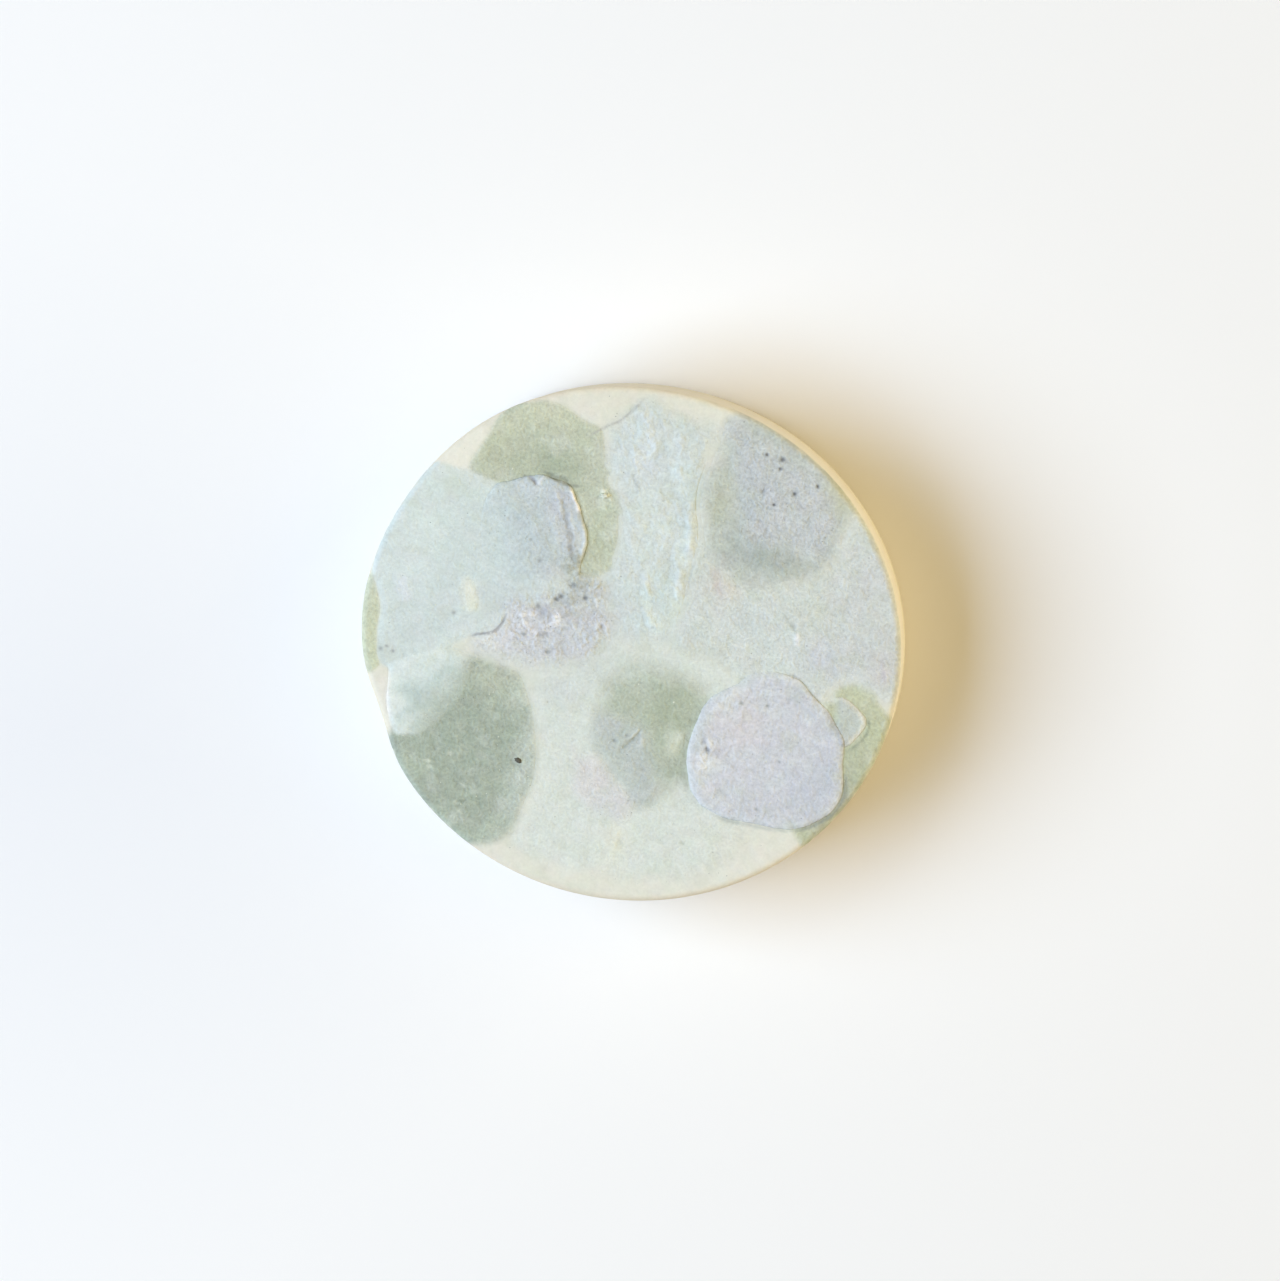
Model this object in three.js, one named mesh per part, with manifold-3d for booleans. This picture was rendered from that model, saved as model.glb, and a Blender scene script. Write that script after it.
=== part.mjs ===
// A hand-poured shaving soap puck: a cream soap body with pats of coloured soap set into its face.
// Millimetres, +Z up, the long diameter along X, the origin at the middle of the underside.
// Every colour is its own poured piece. The sage drops sink deepest into the body, the mint sheets lie
// shallow over their edges, and the lilac pats and films lie on top.
import * as THREE from "three";
import { mergeVertices } from "three/addons/utils/BufferGeometryUtils.js";
import Module from "manifold-3d";

const wasm = await Module();
wasm.setup();

// Overall sizes.
const LONG_DIAMETER = 76;
const SHORT_DIAMETER = 71.7;
const THICKNESS = 23.4; // cream body, underside to face
const EDGE_RADIUS = 0.9; // rounding of the rim, top and bottom

// How far each kind of pour goes into the face, and how far it stands above it.
const SAGE_SINK = 3.2;
const SHEET_SINK = 1.1;
const SHEET_RISE = 0.25;
const FILM_SINK = 0.5;
const FILM_RISE = 0.35;
const SPOT_SINK = 0.4;
const SPOT_RISE = 0.45;
const FLAP_SINK = 0.35;
const FLAP_RISE = 0.75;
const PAT_SINK = 0.4;
const PAT_RISE = 0.9;
const TAB_SINK = 0.45;
const TAB_RISE = 0.5;

// Loose bits on the face.
const SPECK_LENGTH = 1.2;
const SPECK_THICKNESS = 0.25;
const CRUMB_LENGTH = 1.6;
const CRUMB_HEIGHT = 0.6;

const SIDE_CLEARANCE = 0.3; // between the side of a pour and the pocket it fills
const OUTLINE_STEP = 1.5; // spacing of the points along a poured outline
const RIM_POINTS = 120;

// Where the rim departs from a true oval: [direction in degrees, half-width in degrees, rise in mm].
const RIM_BUMPS = [
  [132, 24, 0.55],
  [184, 15, 0.3],
  [211, 9, -0.85],
];

const SAGE = { color: 0x9fa98c, roughness: 0.82, metalness: 0 };
const DEEP_SAGE = { color: 0x78836c, roughness: 0.84, metalness: 0 };
const MINT = { color: 0xcdd7d2, roughness: 0.85, metalness: 0 };
const LILAC = { color: 0xc6c6d4, roughness: 0.86, metalness: 0 };
const GREY_LILAC = { color: 0xb9bcc6, roughness: 0.86, metalness: 0 };
const PINK = { color: 0xd8cdd0, roughness: 0.86, metalness: 0 };
const CREAM = { color: 0xe9e2cf, roughness: 0.8, metalness: 0 };
const HERB = { color: 0x2b2a22, roughness: 0.9, metalness: 0 };

// The poured pieces, top-most first, so each one is let into all that come after it. An outline holds
// shares of the two half diameters in per cent, anticlockwise or clockwise, and is drawn as one smooth
// closed curve. An outline that runs past the rim is cut off there.
const POURS = [
  {
    name: "lilac_pat_southeast",
    finish: LILAC,
    sink: PAT_SINK,
    rise: PAT_RISE,
    outline: [
      [45, 0], [50, 3], [55, 4], [60, 3.8], [64, 3], [67, 1], [70, -1.5], [74, -4], [77, -6], [79.5, -9],
      [82, -11.5], [84.5, -14.5], [86, -18], [86, -21], [87, -25], [88, -29], [89, -33], [89.3, -37],
      [88.3, -41], [86.5, -45], [83, -48.5], [79, -52], [75, -54], [70, -55.3], [64, -55.6], [57, -56],
      [50, -56.5], [45, -55.5], [40, -54], [37, -51.5], [34, -48], [32.5, -44], [31, -40], [30, -35],
      [30, -29], [30.5, -24], [31.5, -18], [33, -13], [36, -9.5], [40, -6], [43, -3],
    ],
  },
  {
    name: "lilac_flap_west",
    finish: GREY_LILAC,
    sink: FLAP_SINK,
    rise: FLAP_RISE,
    outline: [
      [-62, 48.5], [-58, 50.5], [-55, 52.3], [-52, 54], [-49, 55.3], [-46, 55.6], [-41, 55.2], [-37.5, 55],
      [-35.5, 54], [-33.5, 51.5], [-31.5, 48.5], [-29.5, 45.3], [-27.3, 41.5], [-25.5, 38], [-24.6, 34],
      [-24.5, 29.5], [-24.8, 25], [-24.3, 21.5], [-27, 18.5], [-31, 15], [-37, 10], [-45, 7], [-53, 9],
      [-60, 18], [-64, 30], [-65, 40],
    ],
  },
  {
    name: "mint_tab_east",
    finish: MINT,
    sink: TAB_SINK,
    rise: TAB_RISE,
    outline: [
      [77, -0.5], [80, 0.8], [84, 0], [87, -2], [90, -4], [91.5, -6], [91.3, -9], [90, -12], [88.3, -15],
      [87, -17.5], [85.5, -18.5], [82, -14], [79, -9], [76.5, -5],
    ],
  },
  {
    name: "cream_spot_west",
    finish: CREAM,
    sink: SPOT_SINK,
    rise: SPOT_RISE,
    outline: [[-64.5, 9], [-61.5, 8.5], [-59.5, 4.5], [-57.5, 0.5], [-58.5, -3.5], [-61.5, -3.5], [-63.5, 1], [-65.5, 5]],
  },
  {
    name: "cream_spot_centre",
    finish: CREAM,
    sink: SPOT_SINK,
    rise: SPOT_RISE,
    outline: [[25, -27], [27.5, -28], [28.5, -32], [28, -36], [25.5, -38.5], [23, -37], [22.3, -32.5], [23, -29]],
  },
  {
    name: "lilac_smear_centre",
    finish: LILAC,
    sink: FILM_SINK,
    rise: FILM_RISE,
    outline: [
      [-50, 3], [-44, 8], [-36, 12], [-30, 16], [-26, 22], [-20, 22.5], [-14, 21], [-11, 15], [-8, 8], [-8, -2],
      [-12, -9], [-18, -14], [-28, -19], [-40, -19.5], [-49, -18], [-55, -16.5], [-57, -13.5], [-53, -10.5],
      [-49, -5],
    ],
  },
  {
    name: "lilac_film_centre",
    finish: GREY_LILAC,
    sink: FILM_SINK,
    rise: FILM_RISE,
    outline: [
      [-6, -28], [0, -27], [6, -27], [12, -28.5], [16, -32], [20, -38], [25, -42], [29, -46], [30, -50],
      [26, -54], [22, -58], [17, -60], [12, -56], [7, -52], [3, -49], [0, -45], [-4, -42], [-7, -36],
    ],
  },
  {
    name: "pink_smear_south",
    finish: PINK,
    sink: FILM_SINK,
    rise: FILM_RISE,
    outline: [
      [-12, -42], [-8, -46], [-3, -44], [1, -45], [5, -50], [10, -54], [15, -59], [16, -66], [13, -70],
      [8, -70], [2, -68], [-4, -66], [-8, -60], [-11, -52],
    ],
  },
  {
    name: "pink_smear_east",
    finish: PINK,
    sink: FILM_SINK,
    rise: FILM_RISE,
    outline: [[23, 38], [28, 36], [33, 33], [36, 28], [34, 23], [30, 20], [26, 23], [26, 29], [24, 33]],
  },
  {
    name: "lilac_skin_northeast",
    finish: GREY_LILAC,
    sink: FILM_SINK,
    rise: FILM_RISE,
    outline: [
      [16, 92], [26, 92.5], [40, 88], [51, 82], [58, 76], [62, 69], [64, 61], [62, 54], [56, 50], [48, 51],
      [42, 47], [36, 42], [31, 44], [29, 52], [27, 60], [25, 68], [21, 76], [17, 84],
    ],
  },
  {
    name: "mint_film_southwest",
    finish: MINT,
    sink: FILM_SINK,
    rise: FILM_RISE,
    outline: [
      [-85, -31], [-83.5, -36], [-83, -41], [-82, -46], [-80.3, -50.5], [-78, -55], [-75, -57.5], [-72, -56.5],
      [-68, -55.5], [-64, -52], [-60, -46], [-56, -38], [-54.5, -30], [-54.5, -23], [-57, -20], [-64, -19],
      [-72, -22], [-80, -27],
    ],
  },
  {
    name: "sage_drop_centre",
    finish: SAGE,
    sink: SAGE_SINK,
    rise: SHEET_RISE,
    outline: [
      [6, -7], [14, -5.5], [22, -6], [28, -8], [33, -14], [36, -22], [37, -32], [36, -42], [33, -48.5],
      [29, -50], [25, -53], [22, -57], [18, -59], [14, -56.5], [10, -53], [5, -50], [1, -45], [-3, -39],
      [-5, -32], [-5, -24], [-3, -16], [1, -10],
    ],
  },
  {
    name: "mint_sheet_west",
    finish: MINT,
    sink: SHEET_SINK,
    rise: SHEET_RISE,
    outline: [
      [-89, 50], [-80, 50.3], [-74, 50.3], [-68, 49.6], [-62, 48.5], [-50, 44], [-40, 35], [-33, 25], [-31, 16],
      [-34, 8], [-42, 4], [-46, 0], [-47.5, -4], [-49, -7], [-51, -9], [-54, -10.3], [-57, -12], [-61, -15],
      [-65, -19], [-68, -25], [-72, -31], [-78, -34], [-86, -33], [-88.5, -31], [-90, -27.5], [-91.3, -22],
      [-92.4, -16], [-92.7, -11], [-94.5, -6.5], [-97, -1.5], [-100, 3], [-108, 6], [-112, 25], [-100, 45],
    ],
  },
  {
    name: "mint_sheet_north",
    finish: MINT,
    sink: SHEET_SINK,
    rise: SHEET_RISE,
    outline: [
      [-28.5, 79.5], [-25, 84], [-22, 89], [-20, 93], [-16, 95.5], [-10, 94.5], [-3, 92.5], [5, 92], [11.5, 91],
      [12.3, 85], [11, 78], [10, 70], [10, 64], [11, 58], [13.5, 51], [15, 44], [15.2, 35], [15.3, 28], [15, 20],
      [14, 12], [12, 6], [6, 3], [-2, 2], [-7, 3], [-8, 8], [-10.5, 15], [-13, 20.5], [-15, 24], [-13.3, 30],
      [-12.8, 38], [-14, 45], [-16.8, 51.5], [-20.5, 58.5], [-24, 64], [-25.5, 72], [-27, 76.5],
    ],
  },
  {
    name: "mint_sheet_east",
    finish: MINT,
    sink: SHEET_SINK,
    rise: SHEET_RISE,
    outline: [
      [16, 45], [20, 40.5], [25, 37.5], [30, 34.5], [36, 33], [42, 34], [48, 37], [54, 40], [60.5, 43.3],
      [64.3, 50], [66, 58], [67, 66], [70, 72], [84, 68], [104, 40], [110, 14], [104, 5], [97, 3], [90, 5.5],
      [84, 6.5], [79, 4.5], [76, 0], [72, -6], [60, -8], [48, -6], [42, -2], [36, 1.5], [28, 3.5], [20, 2.5],
      [16.5, 5], [16, 14], [16.5, 25], [16, 36],
    ],
  },
  {
    name: "mint_sheet_south",
    finish: MINT,
    sink: SHEET_SINK,
    rise: SHEET_RISE,
    outline: [
      [-28, -20.5], [-18, -15.5], [-12, -10], [-7, -2], [-2, 0.5], [6, 1.5], [13, 4], [20, 1.5], [28, 2.5],
      [36, 0.5], [43, -4], [42, -14], [38, -25], [38, -35], [40, -45], [46, -53], [55, -57], [60, -60],
      [58, -68], [52, -76], [44, -82], [30, -87], [12, -90], [-5, -91], [-18, -90], [-25, -87], [-23.5, -80],
      [-22, -70], [-21, -60], [-21.8, -52], [-24, -43], [-27, -35], [-30.5, -28],
    ],
  },
  {
    name: "sage_drop_northwest",
    finish: SAGE,
    sink: SAGE_SINK,
    rise: 0,
    outline: [
      [-74, 52], [-72, 59], [-70, 65], [-68.5, 71], [-66.5, 75.5], [-63, 79], [-58, 82], [-53, 84.3], [-48, 84.5],
      [-43, 82.8], [-38, 80.7], [-33, 79.7], [-29.5, 78.5], [-28, 75], [-26.5, 70], [-25.2, 64], [-22, 58.5],
      [-18.5, 53], [-16, 47], [-14.4, 41], [-14, 35], [-14.7, 29], [-16.5, 24], [-19, 21], [-26, 20],
      [-37, 25], [-48, 34], [-60, 42], [-70, 46.5],
    ],
  },
  {
    name: "sage_drop_west",
    finish: SAGE,
    sink: SAGE_SINK,
    rise: 0,
    outline: [
      [-106, 4], [-99, 3], [-96.5, -2], [-94, -7], [-92.5, -11], [-92.3, -17], [-91.2, -23], [-89.8, -28.5],
      [-88, -32.5], [-89.5, -35], [-92.5, -37], [-99, -40], [-108, -18],
    ],
  },
  {
    name: "sage_drop_southwest",
    finish: DEEP_SAGE,
    sink: SAGE_SINK,
    rise: 0,
    outline: [
      [-55, -20], [-50, -20.5], [-45, -20.5], [-40, -21], [-36.5, -22.5], [-34, -26], [-31, -31], [-28, -37],
      [-26, -43], [-24, -49], [-23, -55], [-22.5, -62], [-23.5, -70], [-24.5, -77], [-26, -83], [-28.5, -87],
      [-33, -89.5], [-39, -93], [-46, -102], [-72, -88], [-88, -64], [-80, -58.5], [-77, -55], [-75, -47],
      [-72, -38], [-67, -29], [-61, -23],
    ],
  },
  {
    name: "sage_drop_southeast",
    finish: SAGE,
    sink: SAGE_SINK,
    rise: 0,
    outline: [
      [77, 1], [80, 4], [85, 5.5], [90, 4.5], [95, 1.5], [99, -1.5], [108, -4], [112, -30], [102, -52],
      [86, -66], [79.5, -60], [77, -57], [75, -53], [78, -46], [81, -38], [82, -30], [80, -20], [77, -10],
      [75, -3],
    ],
  },
  {
    name: "sage_drop_northeast",
    finish: SAGE,
    sink: SAGE_SINK,
    rise: 0,
    outline: [
      [14, 93], [17, 97], [24, 106], [50, 104], [74, 84], [71, 73], [67.5, 66], [65.5, 58], [63.5, 50],
      [60, 44], [54, 41], [48, 38], [42, 35], [36, 34], [30, 35.5], [25, 38.5], [20, 41.5], [17.5, 46],
      [15, 52], [12.5, 58], [11.5, 64], [11.5, 70], [12.5, 77], [13.7, 85],
    ],
  },
];

// A place on the face, from shares of the half diameters in per cent.
function facePoint([across, along]) {
  return new THREE.Vector2((across * LONG_DIAMETER) / 200, (along * SHORT_DIAMETER) / 200);
}

// The rim of the puck: an oval with slight bumps, fitted so its outermost sizes are the two diameters.
function rimOutline() {
  const points = [];
  for (let i = 0; i < RIM_POINTS; i++) {
    const turn = (i * 2 * Math.PI) / RIM_POINTS;
    const point = facePoint([100 * Math.cos(turn), 100 * Math.sin(turn)]);
    let rise = 0;
    for (const [at, spread, height] of RIM_BUMPS) {
      const away = THREE.MathUtils.euclideanModulo(THREE.MathUtils.radToDeg(turn) - at + 180, 360) - 180;
      rise += height * Math.exp(-((away / spread) ** 2));
    }
    points.push(point.setLength(point.length() + rise));
  }
  const box = new THREE.Box2().setFromPoints(points);
  const size = box.getSize(new THREE.Vector2());
  const middle = box.getCenter(new THREE.Vector2());
  const fit = new THREE.Vector2(LONG_DIAMETER / size.x, SHORT_DIAMETER / size.y);
  return points.map((point) => point.sub(middle).multiply(fit));
}

// The smooth closed curve of a poured outline, as evenly spaced points.
function pouredOutline(shares) {
  const through = shares.map((share) => {
    const point = facePoint(share);
    return new THREE.Vector3(point.x, point.y, 0);
  });
  const curve = new THREE.CatmullRomCurve3(through, true, "centripetal");
  const steps = Math.max(16, Math.round(curve.getLength() / OUTLINE_STEP));
  const points = curve.getSpacedPoints(steps).slice(0, steps);
  const outline = points.map((point) => new THREE.Vector2(point.x, point.y));
  return THREE.ShapeUtils.isClockWise(outline) ? outline.reverse() : outline;
}

function distanceToSegment(point, a, b) {
  const along = b.clone().sub(a);
  const share = THREE.MathUtils.clamp(point.clone().sub(a).dot(along) / along.lengthSq(), 0, 1);
  return point.distanceTo(a.clone().addScaledVector(along, share));
}

// An anticlockwise outline moved outwards by the clearance, with the loops at tight corners left out.
function grownOutline(outline, clearance) {
  const count = outline.length;
  const moved = outline.map((point, i) => {
    const along = outline[(i + 1) % count].clone().sub(outline[(i + count - 1) % count]);
    const outwards = new THREE.Vector2(along.y, -along.x).normalize();
    return point.clone().addScaledVector(outwards, clearance);
  });
  return moved.filter((point) =>
    outline.every((from, i) => distanceToSegment(point, from, outline[(i + 1) % count]) > 0.9 * clearance),
  );
}

function toSolid(geometry) {
  geometry.deleteAttribute("normal");
  geometry.deleteAttribute("uv");
  const merged = mergeVertices(geometry, 1e-4);
  return new wasm.Manifold(
    new wasm.Mesh({
      numProp: 3,
      vertProperties: new Float32Array(merged.attributes.position.array),
      triVerts: new Uint32Array(merged.index.array),
    }),
  );
}

function toMesh(name, solid, finish) {
  const { numProp, vertProperties, triVerts } = solid.getMesh();
  const geometry = new THREE.BufferGeometry();
  const positions = new THREE.InterleavedBufferAttribute(new THREE.InterleavedBuffer(vertProperties, numProp), 3, 0);
  geometry.setAttribute("position", positions);
  geometry.setIndex(new THREE.BufferAttribute(triVerts, 1));
  const plain = geometry.toNonIndexed();
  plain.computeVertexNormals();
  const mesh = new THREE.Mesh(plain, new THREE.MeshStandardMaterial(finish));
  mesh.name = name;
  return mesh;
}

// A straight-sided solid of the outline between two heights.
function prism(outline, bottom, top) {
  const geometry = new THREE.ExtrudeGeometry(new THREE.Shape(outline), { depth: top - bottom, bevelEnabled: false });
  return toSolid(geometry.translate(0, 0, bottom));
}

// The whole puck up to a height, with its rim rounded at the top and the bottom.
function blank(rim, top) {
  const geometry = new THREE.ExtrudeGeometry(new THREE.Shape(rim), {
    depth: top - 2 * EDGE_RADIUS,
    bevelThickness: EDGE_RADIUS,
    bevelSize: EDGE_RADIUS,
    bevelOffset: -EDGE_RADIUS,
    bevelSegments: 4,
  });
  return toSolid(geometry.translate(0, 0, EDGE_RADIUS));
}

// A loose bit lying on the face: a squashed ball cut flat where it touches.
function looseBit(share, size, turn) {
  const place = facePoint(share);
  const ball = new THREE.IcosahedronGeometry(0.5, 2);
  ball.scale(size.x, size.y, 2 * size.z);
  ball.rotateZ(THREE.MathUtils.degToRad(turn));
  ball.translate(place.x, place.y, THICKNESS);
  const square = [[-1, -1], [1, -1], [1, 1], [-1, 1]].map(
    ([x, y]) => new THREE.Vector2(place.x + x * size.x, place.y + y * size.x),
  );
  return toSolid(ball).intersect(prism(square, THICKNESS, THICKNESS + 2 * size.z));
}

function buildPuck() {
  const rim = rimOutline();
  const highest = THICKNESS + 2 * Math.max(PAT_RISE, FLAP_RISE, CRUMB_HEIGHT, EDGE_RADIUS);
  const puck = new THREE.Group();
  const pockets = [];
  for (const { name, finish, sink, rise, outline } of POURS) {
    const edge = pouredOutline(outline);
    const bottom = THICKNESS - sink;
    const whole = prism(edge, bottom, THICKNESS + rise).intersect(blank(rim, THICKNESS + rise));
    puck.add(toMesh(name, pockets.reduce((solid, pocket) => solid.subtract(pocket), whole), finish));
    pockets.push(prism(grownOutline(edge, SIDE_CLEARANCE), bottom, highest));
  }
  const body = pockets.reduce((solid, pocket) => solid.subtract(pocket), blank(rim, THICKNESS));
  puck.add(toMesh("cream_body", body, CREAM));
  const speckSize = new THREE.Vector3(SPECK_LENGTH, 0.75 * SPECK_LENGTH, SPECK_THICKNESS);
  puck.add(toMesh("herb_speck", looseBit([-29.5, -55], speckSize, -20), HERB));
  const crumbSize = new THREE.Vector3(CRUMB_LENGTH, 0.55 * CRUMB_LENGTH, CRUMB_HEIGHT);
  puck.add(toMesh("soap_crumb", looseBit([-22.7, 53.8], crumbSize, 15), SAGE));
  return puck;
}

export default buildPuck();
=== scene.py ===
"""A hand-poured shaving soap puck: a cream body with drops, sheets and pats of coloured soap in its face.

Lengths are millimetres until a mesh is made, and metres after that. A place on the face is given as
shares of the two half diameters in per cent, so (0, 0) is the middle and (100, 0) the end of the long
diameter. A place anywhere on the outside is given on the unrolled skin: the face as it is, with the
rounded rim, the wall and the underside laid out flat around it.
"""
import sys

import logging
import math
from dataclasses import dataclass, field
from enum import Enum

import bmesh
import bpy
import numpy as np
from mathutils import Matrix, Vector
from mathutils.geometry import delaunay_2d_cdt

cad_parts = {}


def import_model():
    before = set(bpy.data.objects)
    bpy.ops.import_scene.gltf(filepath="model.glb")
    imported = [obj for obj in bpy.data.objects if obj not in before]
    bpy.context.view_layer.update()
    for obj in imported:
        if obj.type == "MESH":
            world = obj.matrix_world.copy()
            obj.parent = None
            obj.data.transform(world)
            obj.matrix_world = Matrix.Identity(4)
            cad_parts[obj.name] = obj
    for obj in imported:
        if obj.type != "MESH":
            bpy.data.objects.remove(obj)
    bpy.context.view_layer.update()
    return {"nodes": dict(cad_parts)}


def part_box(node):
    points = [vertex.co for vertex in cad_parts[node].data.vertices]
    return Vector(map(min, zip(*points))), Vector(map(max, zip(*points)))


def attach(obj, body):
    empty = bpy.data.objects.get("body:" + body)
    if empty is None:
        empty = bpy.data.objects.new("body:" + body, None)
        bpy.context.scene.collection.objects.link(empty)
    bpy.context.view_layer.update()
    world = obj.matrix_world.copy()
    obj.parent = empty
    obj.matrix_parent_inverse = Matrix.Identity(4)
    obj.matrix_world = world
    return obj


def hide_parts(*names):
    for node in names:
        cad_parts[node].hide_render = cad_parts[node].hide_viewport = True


log = logging.getLogger("soap_puck")

MM = 0.001
BODY = "cream_body"
EDGE_RADIUS = 0.9
TINT = "soap_tint"
LIGHT_ON_FACE = (0.965, 0.985, 0.992)
CREAM_GRAIN = 0.4

Array = np.ndarray


# ---------------- small sums


def ramp(low: float, high: float, value: Array) -> Array:
    """A smooth step from 0 at low to 1 at high.

    Args:
        low: where the step starts.
        high: where it ends.
        value: numbers to place on it.

    Returns:
        The height of the step at each number.
    """
    share = np.clip((value - low) / (high - low), 0.0, 1.0)
    return share * share * (3.0 - 2.0 * share)


def blended(under: Array, over: Array, cover: Array) -> Array:
    """Colours of under with over laid on by its cover."""
    return under + (over - under) * cover[:, None]


@dataclass(frozen=True)
class Tint:
    """A soap colour as it looks in even light, 0 to 255 for red, green and blue."""

    red: float
    green: float
    blue: float

    def shown(self) -> Array:
        """The colour as three numbers from 0 to 1."""
        return np.array((self.red, self.green, self.blue)) / 255.0

    def linear(self) -> tuple[float, float, float]:
        """The colour as a shader takes it."""
        return tuple(float(v) for v in to_linear(self.shown()))


def to_linear(shown: Array) -> Array:
    """Shown colours as linear light."""
    return np.where(shown <= 0.04045, shown / 12.92, ((shown + 0.055) / 1.055) ** 2.4)


class Noise:
    """Smooth seeded unevenness over the unrolled skin."""

    TABLE = 256

    def __init__(self, seed: int) -> None:
        """Lays out the table of slopes.

        Args:
            seed: fixes the pattern.
        """
        draw = np.random.default_rng(seed)
        self.order = draw.permutation(self.TABLE)
        turns = draw.uniform(0.0, 2.0 * math.pi, self.TABLE)
        self.slopes = np.stack([np.cos(turns), np.sin(turns)], axis=1)

    def at(self, points: Array, size: float) -> Array:
        """Values of about -1 to 1.

        Args:
            points: places, two numbers each.
            size: how far apart the swells are, in mm.

        Returns:
            One value for each place.
        """
        spot = points / size
        cell = np.floor(spot).astype(int)
        part = spot - cell
        ease = part * part * part * (part * (part * 6.0 - 15.0) + 10.0)
        total = np.zeros(len(points))
        for right in (0, 1):
            for up in (0, 1):
                row = self.order[(cell[:, 0] + right) % self.TABLE]
                slope = self.slopes[self.order[(row + cell[:, 1] + up) % self.TABLE]]
                value = slope[:, 0] * (part[:, 0] - right) + slope[:, 1] * (part[:, 1] - up)
                across = ease[:, 0] if right else 1.0 - ease[:, 0]
                along = ease[:, 1] if up else 1.0 - ease[:, 1]
                total += value * across * along
        return total * 1.5

    def octaves(self, points: Array, size: float, count: int = 3) -> Array:
        """Several sizes of swell on top of each other.

        Args:
            points: places, two numbers each.
            size: size of the largest swell, in mm.
            count: how many sizes.

        Returns:
            One value for each place.
        """
        total = np.zeros(len(points))
        for step in range(count):
            total += self.at(points + 37.0 * step, size / 2.1**step) / 1.8**step
        return total

    def creases(self, points: Array, size: float) -> Array:
        """Sharp little folds, 0 to 1, as thin soap makes when it is smeared.

        Args:
            points: places, two numbers each.
            size: distance between folds, in mm.

        Returns:
            One value for each place.
        """
        bent = points + 0.45 * size * np.stack(
            [self.at(points + 11.0, size * 1.3), self.at(points - 23.0, size * 1.3)], axis=1
        )
        first = 1.0 - np.abs(self.at(bent, size)) * 1.9
        second = 1.0 - np.abs(self.at(bent + 91.0, size / 2.2)) * 1.9
        return np.clip(first, 0.0, 1.0) ** 2 * 0.7 + np.clip(second, 0.0, 1.0) ** 2 * 0.3


# ---------------- outlines


def evenly(loop: Array, step: float, closed: bool = True) -> Array:
    """Places at an even step along a smooth curve through the given points.

    Args:
        loop: points that the curve passes.
        step: distance between the results, in mm.
        closed: joins the last point to the first.

    Returns:
        The evenly spaced places.
    """
    count = len(loop)
    if closed:
        ends = np.concatenate([loop[-1:], loop, loop[:2]])
    else:
        ends = np.concatenate([2 * loop[:1] - loop[1:2], loop, 2 * loop[-1:] - loop[-2:-1]])
    spans = count if closed else count - 1
    share = np.linspace(0.0, 1.0, 9)[:-1, None]
    runs = []
    for i in range(spans):
        a, b, c, d = ends[i : i + 4]
        runs.append(
            0.5 * (2 * b + (c - a) * share + (2 * a - 5 * b + 4 * c - d) * share**2
                   + (3 * b - a - 3 * c + d) * share**3)
        )
    fine = np.concatenate(runs + [loop[:1] if closed else loop[-1:]])
    reach = np.concatenate([[0.0], np.cumsum(np.linalg.norm(np.diff(fine, axis=0), axis=1))])
    total = max(int(round(reach[-1] / step)), 2)
    marks = np.linspace(0.0, reach[-1], total + 1)
    if closed:
        marks = marks[:-1]
    return np.stack([np.interp(marks, reach, fine[:, k]) for k in (0, 1)], axis=1)


def nearest(points: Array, loop: Array, closed: bool = True) -> tuple[Array, Array, Array]:
    """Distance to a line of points, the nearest place on it and how far along that is.

    Args:
        points: places to measure from.
        loop: corners of the line.
        closed: the line returns to its start.

    Returns:
        Distances, nearest places, and shares of the line's corners passed, 0 to 1.
    """
    start = loop if closed else loop[:-1]
    run = (np.roll(loop, -1, axis=0) if closed else loop[1:]) - start
    size = np.maximum((run * run).sum(axis=1), 1e-12)
    distance = np.empty(len(points))
    place = np.empty_like(points)
    along = np.empty(len(points))
    block = max(1, 2_000_000 // len(start))
    for low in range(0, len(points), block):
        chosen = points[low : low + block]
        away = chosen[:, None, :] - start[None, :, :]
        share = np.clip((away * run).sum(axis=2) / size, 0.0, 1.0)
        left = away - share[:, :, None] * run
        squared = (left * left).sum(axis=2)
        best = squared.argmin(axis=1)
        row = np.arange(len(chosen))
        distance[low : low + block] = np.sqrt(squared[row, best])
        place[low : low + block] = start[best] + share[row, best][:, None] * run[best]
        along[low : low + block] = (best + share[row, best]) / len(start)
    return distance, place, along


def inside(points: Array, loop: Array) -> Array:
    """True for each place inside a closed line of points.

    Args:
        points: places to test.
        loop: corners of the line.

    Returns:
        One truth value for each place.
    """
    after = np.roll(loop, -1, axis=0)
    odd = np.zeros(len(points), dtype=bool)
    for (ax, ay), (bx, by) in zip(loop, after):
        if ay == by:
            continue
        crosses = (points[:, 1] < ay) != (points[:, 1] < by)
        where = ax + (points[:, 1] - ay) * (bx - ax) / (by - ay)
        odd ^= crosses & (points[:, 0] < where)
    return odd


def outwards(loop: Array) -> Array:
    """The direction away from an anticlockwise loop at each of its points.

    Args:
        loop: corners of the loop.

    Returns:
        One direction for each corner.
    """
    along = np.roll(loop, -1, axis=0) - np.roll(loop, 1, axis=0)
    across = np.stack([along[:, 1], -along[:, 0]], axis=1)
    return across / np.maximum(np.linalg.norm(across, axis=1), 1e-9)[:, None]


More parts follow.
